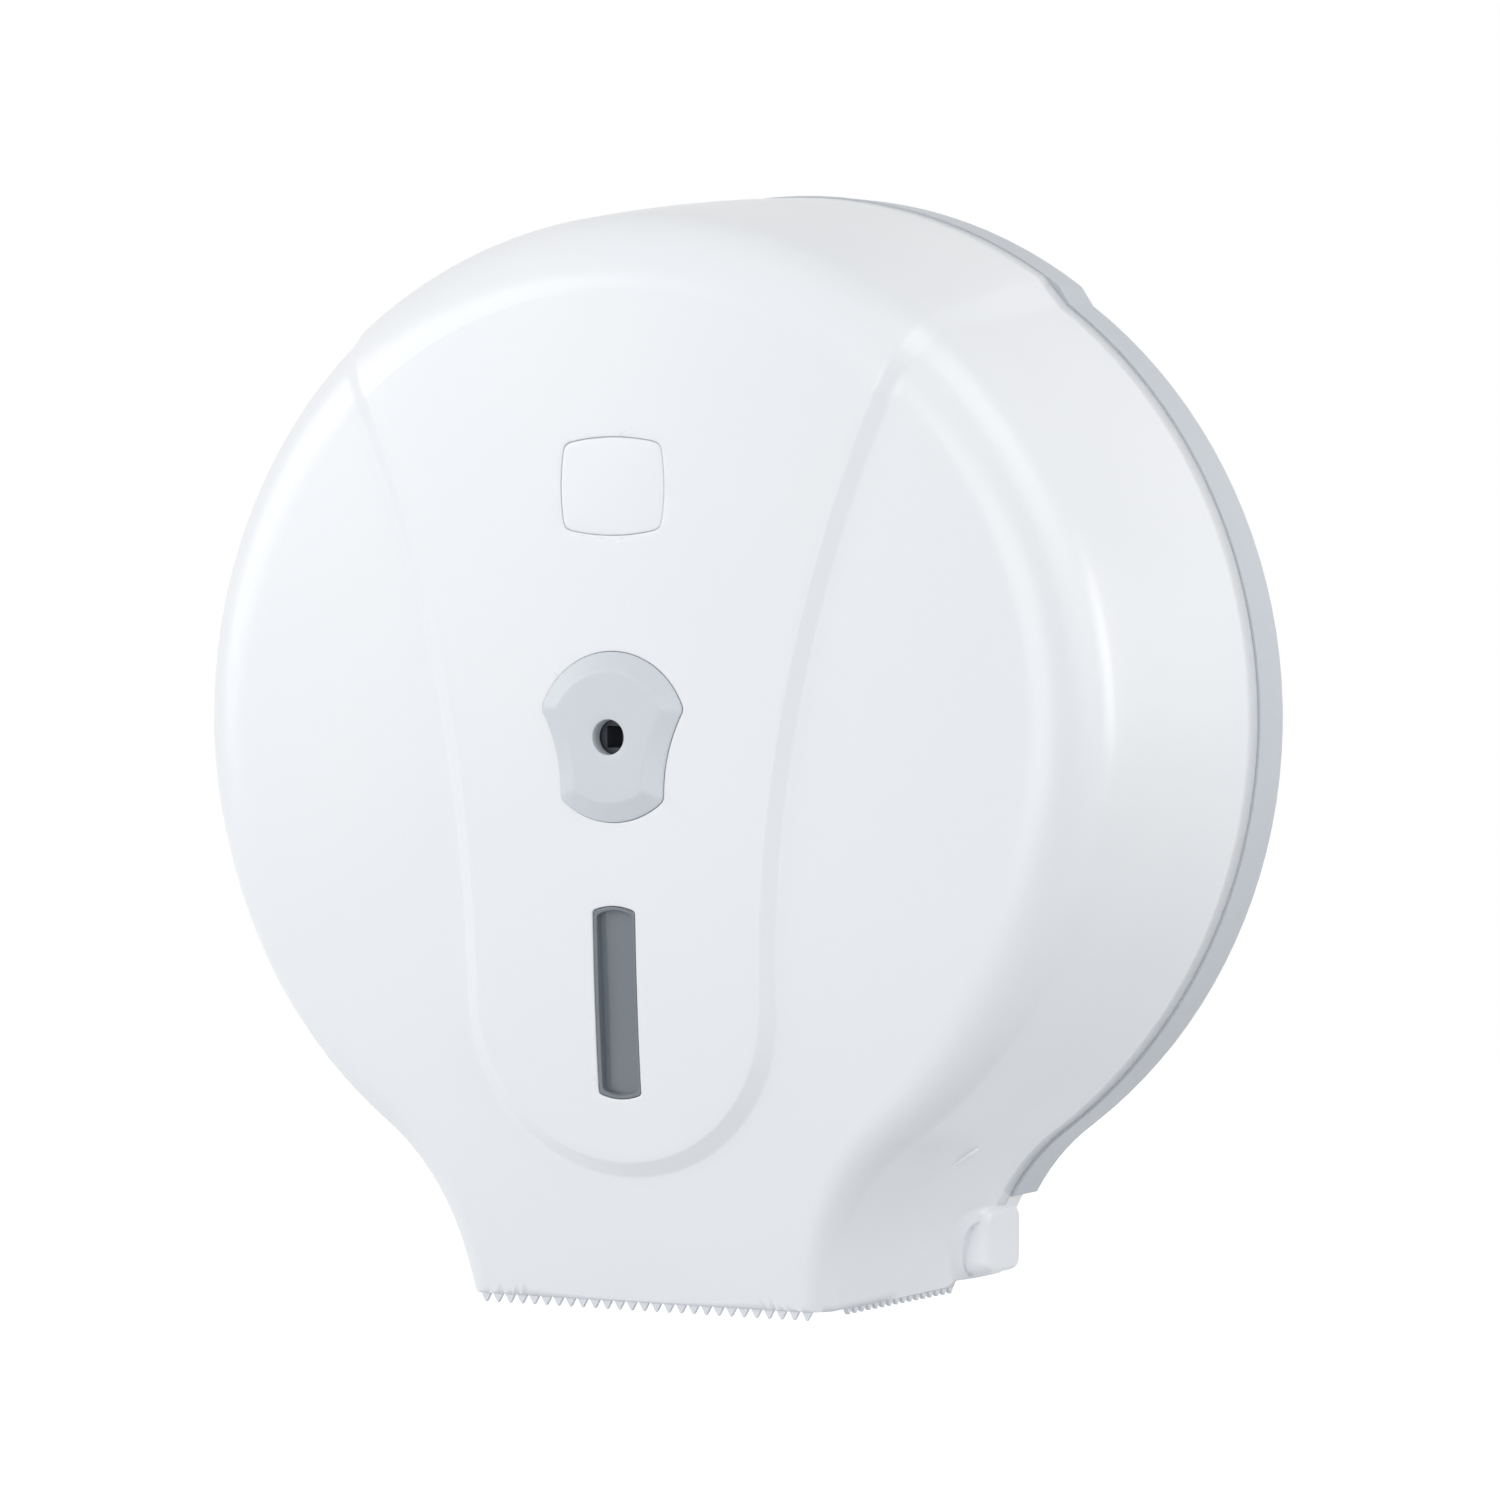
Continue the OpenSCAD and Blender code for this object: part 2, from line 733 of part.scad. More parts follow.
// Outline of the lock plate: a circle with a hollow bite on each side
bite_r = 44.6;
bite_x = 59.7;
bite_z = -14.8;
plate_steps = [14, 8, 12, 8];
function cross_point(r, b) =
    // Where the circle of radius r meets the right bite's circle of radius b, above or below
    let (
        d = norm([bite_x, bite_z]),
        a = (r * r - b * b + d * d) / (2 * d),
        h = sqrt(r * r - a * a),
        u = [bite_x, bite_z] / d
    )
    [a * u + h * [-u[1], u[0]], a * u - h * [-u[1], u[0]]];
function arc_points(centre, from, to, steps) =
    let (
        f = from - centre,
        r = norm(f),
        a0 = atan2(f[1], f[0]),
        turn = atan2(to[1] - centre[1], to[0] - centre[0]) - a0,
        sweep = turn > 180 ? turn - 360 : turn < -180 ? turn + 360 : turn
    )
    [for (k = [0:steps - 1]) centre + r * [cos(a0 + sweep * k / steps), sin(a0 + sweep * k / steps)]];
function flip(p) = [-p[0], p[1]];
function plate_outline(inset) =
    let (
        meet = cross_point(plate_r - inset, bite_r + inset),
        tip = meet[0],
        heel = meet[1],
        top = [0, plate_r - inset],
        low = [0, inset - plate_r],
        bite = [bite_x, bite_z]
    )
    concat(
        arc_points([0, 0], flip(tip), top, plate_steps[0] / 2),
        arc_points([0, 0], top, tip, plate_steps[0] / 2),
        arc_points(bite, tip, heel, plate_steps[1]),
        arc_points([0, 0], heel, low, plate_steps[2] / 2),
        arc_points([0, 0], low, flip(heel), plate_steps[2] / 2),
        arc_points(flip(bite), flip(heel), flip(tip), plate_steps[3])
    );
module plate_blank(inset) {
    translate([0, lock_z])
        difference() {
            circle(r = plate_r - inset);
            for (side = sides)
                translate([side * bite_x, bite_z])
                    circle(r = bite_r + inset);
        }
}
plate_sink = 1.6;
plate_lip = 0.3;
bevel_w = 5;
plate_back = panel_depth - plate_sink;
plate_front = panel_depth + plate_rise;
peg_x = 13;
peg_r = 2.8;
module at_pegs() {
    for (side = sides)
        translate([side * peg_x, 0, lock_z])
            children();
}

// Window: a tray in a slot that leans with the face
window_top_depth = face_depth(0, window_z + window_h / 2);
window_low_depth = face_depth(0, window_z - window_h / 2);
window_lean = atan((window_top_depth - window_low_depth) / window_h);
window_arch = 1.3;
flange_w = 3;
window_seat = cover_wall + panel_rise;
seat_reach = 4;
flange_t = 1.4;
window_pin_r = 1.5;
window_pin_z = window_h / 2 + 6;
clip_r = 3.5;
clip_t = 0.8;
module window_outline(grow) {
    w = window_w + 2 * grow;
    h = window_h + 2 * grow;
    arch_r = (w * w / 4 + window_arch * window_arch) / (2 * window_arch);
    square([w, h - 2 * window_arch], center = true);
    for (side = sides)
        intersection() {
            translate([0, side * (h / 2 - arch_r)])
                circle(r = arch_r);
            translate([0, side * (h / 2 - window_arch)])
                square([w, 2 * window_arch + past], center = true);
        }
}
module flange_outline(grow) {
    rounded(window_w + 2 * (flange_w + grow), 2 * (window_pin_z + clip_r + past + grow), flange_w);
}
module at_window() {
    translate([0, -face_depth(0, window_z) - panel_rise, window_z])
        rotate([window_lean, 0, 0])
            children();
}

// Badge: four bowed sides, held by two pegs
badge_bow_r = 60;
badge_sink = 1.2;
badge_lift = 0.2;
badge_peg_x = 9;
badge_peg_r = 1.5;
module badge_outline(grow) {
    w = badge_w / 2 + grow;
    h = badge_h / 2 + grow;
    translate([0, badge_z])
        intersection() {
            translate([badge_bow_r - w, 0])
                circle(r = badge_bow_r);
            translate([w - badge_bow_r, 0])
                circle(r = badge_bow_r);
            translate([0, badge_bow_r - h])
                circle(r = badge_bow_r);
            translate([0, h - badge_bow_r])
                circle(r = badge_bow_r);
        }
}

// The shell and its crest as one mesh, cut off level at the mouth; a resize to zero keeps every size
module cover_skin() {
    resize([0, 0, 0])
        difference() {
            union() {
                cover_shell();
                crest();
            }
            block([-body_r, body_r], [-past, body_depth + past], [-body_r * 2, -mouth_drop]);
            at_window()
                slab(-window_seat - seat_reach, -window_seat + pin_fit)
                    flange_outline(rim_gap);
        }
}

// A flat pad inside the cover, on which the lock housing seats
barrel_head_r = barrel_r + 1;
barrel_head_t = 3;
housing_r = barrel_r + 4;
ear_w = 2;
lock_pad = 0.5;
pad_w = 1;
pad_round = 4;
housing_front = skin_depth - lock_pad;
module housing_pad() {
    slab(housing_front, skin_depth + past)
        translate([0, lock_z])
            rounded(2 * (peg_x + peg_r + ear_w + pad_w), 2 * (housing_r + pad_w), pad_round);
}
module front_cover() {
    color("white")
        difference() {
            union() {
                cover_skin();
                both_sides()
                    knuckle();
                tear_teeth();
                housing_pad();
                at_window()
                    for (side = sides)
                        rod(window_pin_r, -window_seat - flange_t - clip_t - past, -window_seat + past,
                            0, side * window_pin_z);
            }
            both_sides()
                cross_rod(hinge_pin_r + fit, knuckle_in_x - past, knuckle_end, hinge_depth, -hinge_drop);
            slab(plate_back, panel_depth + past)
                plate_blank(-seat_gap);
            rod(barrel_head_r + seat_gap, skin_depth - past, panel_depth, 0, lock_z);
            at_pegs()
                rod(peg_r + seat_gap, skin_depth - past, panel_depth);
            at_window()
                slab(-window_seat - past, past)
                    window_outline(seat_gap);
            slab(panel_depth - badge_sink, panel_depth + past)
                badge_outline(seat_gap);
            for (side = sides)
                rod(badge_peg_r + seat_gap, skin_depth - past, panel_depth, side * badge_peg_x, badge_z);
        }
}
module badge_plate() {
    color("white") {
        slab(panel_depth - badge_sink, panel_depth + badge_lift)
            badge_outline(0);
        for (side = sides)
            rod(badge_peg_r, skin_depth - clip_t - past, panel_depth - badge_sink,
                side * badge_peg_x, badge_z);
    }
}
module badge_clips() {
    color("silver")
        for (side = sides)
            difference() {
                rod(clip_r, skin_depth - clip_t - fit, skin_depth - fit, side * badge_peg_x, badge_z);
                rod(badge_peg_r + pin_fit, skin_depth - clip_t - past, skin_depth + past,
                    side * badge_peg_x, badge_z);
            }
}

pane_t = 1.2;
pane_wall = 1;
tray_set = 0.9;
module window_lens() {
    color("slategray")
        at_window()
            difference() {
                union() {
                    slab(-window_seat, -tray_set)
                        window_outline(0);
                    slab(-window_seat - flange_t, -window_seat)
                        flange_outline(0);
                }
                slab(-pane_depth, past)
                    window_outline(-pane_wall);
                slab(-window_seat - flange_t - past, -pane_depth - pane_t)
                    window_outline(-pane_wall);
                for (side = sides)
                    rod(window_pin_r + pin_fit, -window_seat - flange_t - past, -window_seat + past,
                        0, side * window_pin_z);
            }
}
module window_clips() {
    color("silver")
        at_window()
            for (side = sides)
                difference() {
                    rod(clip_r, -window_seat - flange_t - clip_t, -window_seat - flange_t,
                        0, side * window_pin_z);
                    rod(window_pin_r + pin_fit, -window_seat - flange_t - clip_t - past,
                        -window_seat - flange_t + past, 0, side * window_pin_z);
                }
}

// Lock plate: bevelled all round, with a key hole and two screw pegs at its back
plate_rings = [[0, 0], [plate_sink + plate_lip, 0], [plate_sink + plate_rise, bevel_w]];
module plate_solid() {
    size = len(plate_outline(0));
    rows = len(plate_rings);
    points = [
        for (ring = plate_rings)
            for (p = plate_outline(ring[1]))
                [p[0], -plate_back - ring[0], p[1] + lock_z]
    ];
    centres = [[0, -plate_back, lock_z], [0, -plate_front, lock_z]];
    sides = [
        for (j = [0:rows - 2]) for (k = [0:size - 1])
            let (a = j * size + k, b = j * size + (k + 1) % size)
            quad(a, b, b + size, a + size)
    ];
    caps = [
        for (k = [0:size - 1])
            let (n = (k + 1) % size, top = (rows - 1) * size, c = rows * size)
            [[n, k, c], [top + k, top + n, c + 1]]
    ];
    polyhedron(points = concat(points, centres), faces = concat(flatten(sides), flatten(caps)));
}
housing_ear_t = 3;
housing_len = 9.5;
housing_back = housing_front - housing_len;
ear_back = housing_front - housing_ear_t;
peg_screw_len = 7;
module lock_plate() {
    color("lightgray")
        difference() {
            union() {
                plate_solid();
                at_pegs()
                    rod(peg_r, housing_front, plate_back + past);
            }
            rod(key_hole_d / 2, plate_back - past, plate_front + past, 0, lock_z);
            at_pegs()
                rod(screw_r + pin_fit, housing_front - past, ear_back + peg_screw_len + past);
        }
}
module lock_housing() {
    color("dimgray")
        difference() {
            union() {
                rod(housing_r, housing_back, housing_front, 0, lock_z);
                hull()
                    at_pegs()
                        rod(peg_r + ear_w, ear_back, housing_front, $fn = 32);
            }
            rod(barrel_r + fit, housing_back - past, housing_front + past, 0, lock_z);
            at_pegs()
                rod(screw_r + pin_fit, ear_back - past, housing_front + past);
        }
}
module housing_screws() {
    color("silver")
        at_pegs() {
            rod(screw_head_r, ear_back - screw_head_h, ear_back);
            rod(screw_r, ear_back - screw_head_h, ear_back + peg_screw_len);
        }
}

// Turning barrel: head, grooved body, stem and square shank
barrel_front = housing_front + barrel_head_t;
cam_gap = 0.5;
barrel_back = fork_front + cam_gap;
stem_r = 3.2;
shank_w = 4.4;
cam_front = fork_back - cam_gap;
cam_t = 3;
cam_back = cam_front - cam_t;
ring_cord_r = 0.9;
ring_set = 3.5;
ring_depth = housing_front - ring_set;
clip_front = housing_back - fit;
clip_back = clip_front - clip_t;
groove_r = barrel_r - 1;
cam_screw_r = 1.2;
key_depth = 8;
cam_screw_len = 8;
module groove(r, from_depth, to_depth) {
    difference() {
        rod(barrel_r + past, from_depth, to_depth, 0, lock_z);
        rod(r, from_depth - past, to_depth + past, 0, lock_z);
    }
}
module lock_barrel() {
    color("gray")
        difference() {
            union() {
                rod(barrel_head_r, housing_front, barrel_front, 0, lock_z);
                rod(barrel_r, barrel_back, housing_front, 0, lock_z);
                rod(stem_r, cam_front, barrel_back, 0, lock_z);
                block([-shank_w / 2, shank_w / 2], [cam_back, cam_front],
                    [lock_z - shank_w / 2, lock_z + shank_w / 2]);
            }
            block([-key_square / 2, key_square / 2], [barrel_front - key_depth, barrel_front + past],
                [lock_z - key_square / 2, lock_z + key_square / 2]);
            groove(barrel_r - 2 * ring_cord_r, ring_depth - ring_cord_r - fit,
                ring_depth + ring_cord_r + fit);
            groove(groove_r, clip_back - fit, clip_front + fit);
            rod(cam_screw_r + pin_fit, cam_back - past, cam_back + cam_screw_len, 0, lock_z);
        }
}
module lock_o_ring() {
    color("black")
        translate([0, -ring_depth, lock_z])
            rotate([90, 0, 0])
                rotate_extrude()
                    translate([barrel_r - ring_cord_r + pin_fit, 0])
                        circle(r = ring_cord_r);
}
circlip_w = 1.5;
module lock_circlip() {
    color("silver")
        difference() {
            rod(barrel_r + circlip_w, clip_back, clip_front, 0, lock_z);
            rod(groove_r + pin_fit, clip_back - past, clip_front + past, 0, lock_z);
            block([-groove_r / 2, groove_r / 2], [clip_back - past, clip_front + past],
                [lock_z, lock_z + 2 * barrel_r]);
        }
}
cam_half = 8;
cam_half_w = 2.8;
module lock_cam() {
    hole = shank_w / 2 + pin_fit;
    color("gold")
        difference() {
            intersection() {
                block([-cam_half_w, cam_half_w], [cam_back, cam_front],
                    [lock_z - cam_half, lock_z + cam_half]);
                rod(cam_half, cam_back - past, cam_front + past, 0, lock_z);
            }
            block([-hole, hole], [cam_back - past, cam_front + past], [lock_z - hole, lock_z + hole]);
        }
}
cam_head_t = 1.2;
module cam_screw() {
    color("silver") {
        rod(screw_head_r, cam_back - cam_head_t, cam_back, 0, lock_z);
        rod(cam_screw_r, cam_back - cam_head_t, cam_back + cam_screw_len - past, 0, lock_z);
    }
}

back_plate();
roll_spindle();
spindle_screws();
brake_washer();
core_hub();
hub_washer();
lock_catch();
catch_screws();
hinge_pins();
front_cover();
badge_plate();
badge_clips();
window_lens();
window_clips();
lock_plate();
lock_housing();
housing_screws();
lock_barrel();
lock_o_ring();
lock_circlip();
lock_cam();
cam_screw();
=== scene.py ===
# %% [markdown]
# # A jumbo toilet roll dispenser
# A wall-mounted drum of moulded plastic that holds one large roll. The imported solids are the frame: they give
# every size and every joint. This lesson adds what a camera sees, piece by piece.
# %% Load the frame
import bmesh
import bpy
import numpy as np
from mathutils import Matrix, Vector


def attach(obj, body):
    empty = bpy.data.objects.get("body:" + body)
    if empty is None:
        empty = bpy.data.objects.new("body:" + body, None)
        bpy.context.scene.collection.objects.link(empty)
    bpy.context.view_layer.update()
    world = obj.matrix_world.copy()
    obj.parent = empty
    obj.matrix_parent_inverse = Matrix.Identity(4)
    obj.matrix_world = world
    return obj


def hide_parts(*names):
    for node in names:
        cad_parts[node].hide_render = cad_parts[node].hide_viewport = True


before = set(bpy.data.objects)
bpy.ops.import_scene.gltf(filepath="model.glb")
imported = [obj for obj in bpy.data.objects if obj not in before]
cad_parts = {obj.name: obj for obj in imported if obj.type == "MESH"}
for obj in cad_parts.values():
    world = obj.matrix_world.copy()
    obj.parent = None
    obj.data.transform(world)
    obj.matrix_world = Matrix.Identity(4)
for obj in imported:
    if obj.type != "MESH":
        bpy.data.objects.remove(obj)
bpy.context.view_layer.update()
MM = 0.001

# %% [markdown]
# The camera stands to the right of the dispenser and a little above its axis, with a long lens, so the drum keeps
# its round shape. Its place is worked out from a target, two angles and a distance in metres.
# %% Camera
VIEW_TURN, VIEW_RISE, VIEW_FAR = np.radians(27.78), np.radians(1.77), 1.743
LENS_MM, SENSOR_MM, CLIP_NEAR, CLIP_FAR = 156.0, 36.0, 0.05, 50.0
target = Vector((0.00717, -0.05622, -0.0086))
away = Vector((
    np.sin(VIEW_TURN) * np.cos(VIEW_RISE), -np.cos(VIEW_TURN) * np.cos(VIEW_RISE), np.sin(VIEW_RISE)
))
camera_data = bpy.data.cameras.new("camera")
camera_data.sensor_width, camera_data.lens = SENSOR_MM, LENS_MM
camera_data.clip_start, camera_data.clip_end = CLIP_NEAR, CLIP_FAR
camera = bpy.data.objects.new("camera", camera_data)
camera.location = target + away * VIEW_FAR
camera.rotation_euler = away.to_track_quat("Z", "Y").to_euler()
bpy.context.collection.objects.link(camera)
bpy.context.scene.camera = camera
print("lens", round(camera_data.lens, 1), "mm, camera at", [round(c, 3) for c in camera.location])

# %% [markdown]
# ## Tools for surfaces
# Every new surface is a grid of points: one whole numpy array, row after row. Two neighbouring rows make a band of
# four-sided faces. Sizes are in millimetres until the mesh is made.
# %% Helpers for numbers and meshes
def lerp(a, b, t):
    """The value at share t of the way from a to b."""
    return a + (b - a) * t


def ease(t):
    """A share from 0 to 1 with soft ends: 3 t squared less 2 t cubed."""
    t = np.clip(t, 0, 1)
    return t * t * (3 - 2 * t)


def sind(a):
    """Sine of an angle in degrees."""
    return np.sin(np.radians(a))


def cosd(a):
    """Cosine of an angle in degrees."""
    return np.cos(np.radians(a))


def tand(a):
    """Tangent of an angle in degrees."""
    return np.tan(np.radians(a))


def steps(n):
    """The shares 1/n, 2/n and so on up to 1."""
    return np.linspace(0, 1, n + 1)[1:]


def band_faces(rows, columns, first=0, closed=True):
    """Four-sided faces between the rows of a grid; closed joins the last column to the first."""
    j, k = np.meshgrid(np.arange(rows - 1), np.arange(columns if closed else columns - 1), indexing="ij")
    a, b = j * columns + k, j * columns + (k + 1) % columns
    return (np.stack([a, b, b + columns, a + columns], axis=-1).reshape(-1, 4) + first).tolist()


def make_piece(name, points, faces, merge=1e-6):
    """An object at the origin from points in mm. Doubles are merged and faces turned outwards."""
    mesh = bpy.data.meshes.new(name)
    mesh.from_pydata((np.asarray(points) * MM).tolist(), [], faces)
    shape = bmesh.new()
    shape.from_mesh(mesh)
    bmesh.ops.remove_doubles(shape, verts=shape.verts, dist=merge)
    bmesh.ops.dissolve_degenerate(shape, edges=shape.edges, dist=merge)
    bmesh.ops.recalc_face_normals(shape, faces=shape.faces)
    shape.to_mesh(mesh)
    shape.free()
    mesh.shade_smooth()
    piece = bpy.data.objects.new(name, mesh)
    bpy.context.collection.objects.link(piece)
    return piece


def stack(rings):
    """Points and faces of a closed solid from a list of rings (n, 3), capped flat at both ends."""
    n = len(rings[0])
    faces = band_faces(len(rings), n)
    faces += [list(range(n))[::-1], list(range((len(rings) - 1) * n, len(rings) * n))]
    return np.concatenate(rings), faces


def joined(parts):
    """Several (points, faces) in one."""
    points, faces, first = [], [], 0
    for p, f in parts:
        points.append(p)
        faces += [[i + first for i in face] for face in f]
        first += len(p)
    return np.concatenate(points), faces


def crease(piece, angle):
    """Faces that meet at more than the angle keep a sharp edge; the rest shade smoothly."""
    piece.data.set_sharp_from_angle(angle=np.radians(angle))


print("helpers ready")

# %% [markdown]
# ## The front cover
# The cover is one big moulding: a shallow round drum, a neck that leads down to the paper mouth, and a raised panel
# that runs from a round foot up the front and over the top as a crown. Its outline is a chain of arcs, so each
# column of the grid follows one place of the outline, and each row has its own depth from the wall.
# %% Sizes of the cover
# The drum: radius at the wall, full depth, wall, draft in degrees, radius of the front edge, bow across the front.
BODY_R, BODY_DEPTH, WALL, DRAFT, EDGE_R, BOW = 138.0, 117.0, 2.5, 2.5, 18.0, 3.0
# The crown: rise over the drum, draft, half angle at the wall and at the front.
CROWN_RISE, CROWN_DRAFT, CROWN_ANGLE, CROWN_FRONT = 3.8, 5.2, 33.5, 40.5
# How far the crown's centre lies up at the wall and down at the front, its swell, half angles of the step beside it.
CROWN_LIFT, CROWN_DROP, CROWN_SWELL, RAMP, FRONT_RAMP = 8.3, 4.0, 1.8, 2.5, 1.0
# The panel: rise, radius and height of its foot, width of the sloped band, how it opens upwards and how far.
PANEL_RISE, FOOT_R, FOOT_Z, BAND, PANEL_POWER, PANEL_OVER = 2.6, 46.3, -73.2, 4.7, 2.1, 4.0
# The neck: half width and drop of the mouth, lean of the flanks at the wall and at the front, radius of the hollow.
MOUTH_W, MOUTH_Z, LEAN, FRONT_LEAN, FILLET = 57.6, 152.8, 16.2, 10.6, 58.0
# How the front falls back towards the mouth, its edge radius there, and the strip that is cut away below.
FALL, FALL_POWER, NECK_EDGE, NECK_EASE, SPARE = 14.0, 2.8, 6.5, 125.0, 24.0
# The depth of the cover's back edge.
COVER_BACK = 15.3
SIDES = (-1, 1)


def drum_r(d):
    """Radius of the round body at depth d: it narrows by the draft."""
    return BODY_R - d * tand(DRAFT)


def face_depth(x, z):
    """Depth of the plain front: full depth, less a bow across and a fall towards the mouth."""
    return BODY_DEPTH - BOW * (x / BODY_R) ** 2 - FALL * (np.maximum(0, -z) / MOUTH_Z) ** FALL_POWER


def edge_radius(z):
    """Radius of the front edge: small at the mouth, full on the drum."""
    return lerp(NECK_EDGE, EDGE_R, ease((z + MOUTH_Z) / NECK_EASE))


def step_angle(d):
    """Angle from the top to the middle of the step beside the crown, at depth d."""
    return lerp(CROWN_ANGLE, CROWN_FRONT, d / BODY_DEPTH)


def ramp_angle(d):
    """Half the angle that the step takes up, at depth d."""
    return lerp(RAMP, FRONT_RAMP, d / BODY_DEPTH)


def crown_share(a, d):
    """Grows from 0 to 1 across the step, inwards to the crown; at angle a and depth d."""
    return (step_angle(d) + ramp_angle(d) - a) / (2 * ramp_angle(d))


def mouth_w(d):
    """Half the mouth's width at depth d: its side walls have the body's draft."""
    return MOUTH_W - d * tand(DRAFT)


def flank_lean(d):
    """Lean of the neck's flank, in degrees: steeper at the front than at the wall."""
    return lerp(LEAN, FRONT_LEAN, d / BODY_DEPTH)


def fillet_centre(d):
    """Centre of the hollow between drum and neck: it touches the drum and the leaning flank."""
    lean = flank_lean(d)
    out_x, out_z, up_x, up_z = cosd(lean), -sind(lean), sind(lean), cosd(lean)
    start_x, start_z = mouth_w(d) + FILLET * out_x, -MOUTH_Z + FILLET * out_z
    reach, along = drum_r(d) + FILLET, start_x * up_x + start_z * up_z
    slide = -along - np.sqrt(along ** 2 - start_x ** 2 - start_z ** 2 + reach ** 2)
    return start_x + up_x * slide, start_z + up_z * slide


print("drum radius at the front:", round(float(drum_r(BODY_DEPTH)), 2), "mm")

# %% [markdown]
# The right half of the outline has six stretches: crown, step, drum, hollow, flank, and a strip below the mouth that
# is cut away later. Columns stand close together on the step, where the form changes fastest, and beside it.
# %% Columns of the outline
CROWN, STEP, DRUM, HOLLOW, FLANK, BELOW = range(6)
COLUMNS, DRUM_CROWDING = [30, 12, 66, 36, 14, 8], 1.7
stretch = np.append(np.repeat(np.arange(6), COLUMNS), BELOW)
share = np.append(np.concatenate([np.arange(n) / n for n in COLUMNS]), 1.0)
share = np.where(stretch == DRUM, share ** DRUM_CROWDING, share)
on_drum = stretch <= DRUM
HALF = len(share)


def outline(d, inset):
    """Right half of the outline at depth d, moved inwards by inset: arcs of the drum, an arc of the hollow, then
    straight lines down the flank and across below the mouth."""
    cx, cz = fillet_centre(d)
    step, ramp, r = step_angle(d), ramp_angle(d), drum_r(d) - inset
    touch = np.degrees(np.arctan2(cx, cz))
    a = np.select(
        [stretch == CROWN, stretch == STEP, stretch == DRUM],
        [share * (step - ramp), step - ramp + 2 * ramp * share, lerp(step + ramp, touch, share)],
        0.0,
    )
    lean = flank_lean(d)
    turn = lerp(np.degrees(np.arctan2(-cz, -cx)), 180 - lean, share)
    rf = FILLET + inset
    drop = SPARE - inset
    foot_x, foot_z = mouth_w(d) - inset / cosd(lean) - drop * tand(lean), -MOUTH_Z - drop
    top_x, top_z = cx - rf * cosd(lean), cz + rf * sind(lean)
    x = np.select(
        [on_drum, stretch == HOLLOW, stretch == FLANK],
        [r * sind(a), cx + rf * cosd(turn), lerp(top_x, foot_x, share)],
        foot_x * (1 - share),
    )
    z = np.select(
        [on_drum, stretch == HOLLOW, stretch == FLANK],
        [r * cosd(a), cz + rf * sind(turn), lerp(top_z, foot_z, share)],
        foot_z,
    )
    return x, z


print("columns of the half outline:", HALF)

# %% [markdown]
# Rows run from the back edge along the side wall, round the front edge and across the face to the middle line.
# Rays of the face aim at the middle line, and all the low ones at the centre of the panel's round foot, so that
# they cross the panel's edge squarely.
# %% The plain skin
AIM, AIM_TOP = 0.75, 90.0


def edge_row(turn, wall):
    """One row of the rounded front edge: a circle arc that is upright at turn 0 and level at turn 90."""
    deep = np.full(HALF, BODY_DEPTH - EDGE_R)
    r = np.maximum(edge_radius(outline(deep, np.full(HALF, EDGE_R))[1]) - wall, 1)
    foot_x, foot_z = outline(deep, wall + r)
    depth = face_depth(foot_x, foot_z) - wall - r * (1 - sind(turn))
    x, z = outline(depth, wall + r * (1 - cosd(turn)))
    return x, depth, z


def side_row(v, wall):
    """One row of the side wall, at share v of the way from the back edge to the front edge's arc."""
    depth = lerp(COVER_BACK, edge_row(0, wall)[1], v)
    x, z = outline(depth, np.full(HALF, wall))
    return x, depth, z


def ray(t, wall):
    """Face points at share t of the way from the edge to the middle line."""
    x, _, z = edge_row(90, wall)
    aim = np.clip(AIM * z, FOOT_Z, AIM_TOP)
    x, z = x * (1 - t), lerp(z, aim, t)
    return x, face_depth(x, z) - wall, z


# %% [markdown]
# ## The raised panel and the crown
# The panel's outer edge is a curve in the front view: a half circle at the foot, then sides that open upwards, then
# radial lines over the crown. A soft maximum joins the last two. The distance to this curve, in widths of the
# sloped band, says how far each point is raised.
# %% Distance to the panel's edge
HALVINGS, LEAST_START, LEAST_BAND = 40, 0.02, 0.045
front_angle = CROWN_FRONT + FRONT_RAMP


def crown_r(a, d):
    """Distance of the crown from the roll axis at angle a and depth d: a circle whose centre sinks with depth, and
    that swells a little half way."""
    share = d / BODY_DEPTH
    zc = lerp(CROWN_LIFT, -CROWN_DROP, share)
    r = BODY_R + CROWN_RISE - d * tand(CROWN_DRAFT) - zc + 4 * CROWN_SWELL * share * (1 - share)
    return zc * cosd(a) + np.sqrt(r * r - (zc * sind(a)) ** 2)


front_r = crown_r(front_angle, BODY_DEPTH - EDGE_R) - EDGE_R
TOP_W, TOP_Z = front_r * sind(front_angle), front_r * cosd(front_angle)


def panel_share(x, depth, z, soft=3.0):
    """0 at the band's outer edge, 1 at its inner edge, growing inwards; in the front view."""
    up = np.maximum(z - FOOT_Z, 0) / (TOP_Z - FOOT_Z)
    opening = TOP_W + PANEL_OVER - FOOT_R
    w = FOOT_R + opening * up ** PANEL_POWER
    slope = opening * PANEL_POWER * up ** (PANEL_POWER - 1) / (TOP_Z - FOOT_Z)
    lean = tand(step_angle(depth) + ramp_angle(depth))
    radial = z * lean
    mix = 1 / (1 + np.exp(-(radial - w) / soft))
    wide = soft * np.logaddexp(radial / soft, w / soft)
    tilt = lerp(slope, lean, mix)
    side = (wide - np.abs(x)) / np.sqrt(1 + tilt ** 2)
    foot = FOOT_R - np.hypot(x, z - FOOT_Z)
    return np.where(z < FOOT_Z, foot, side) / BAND


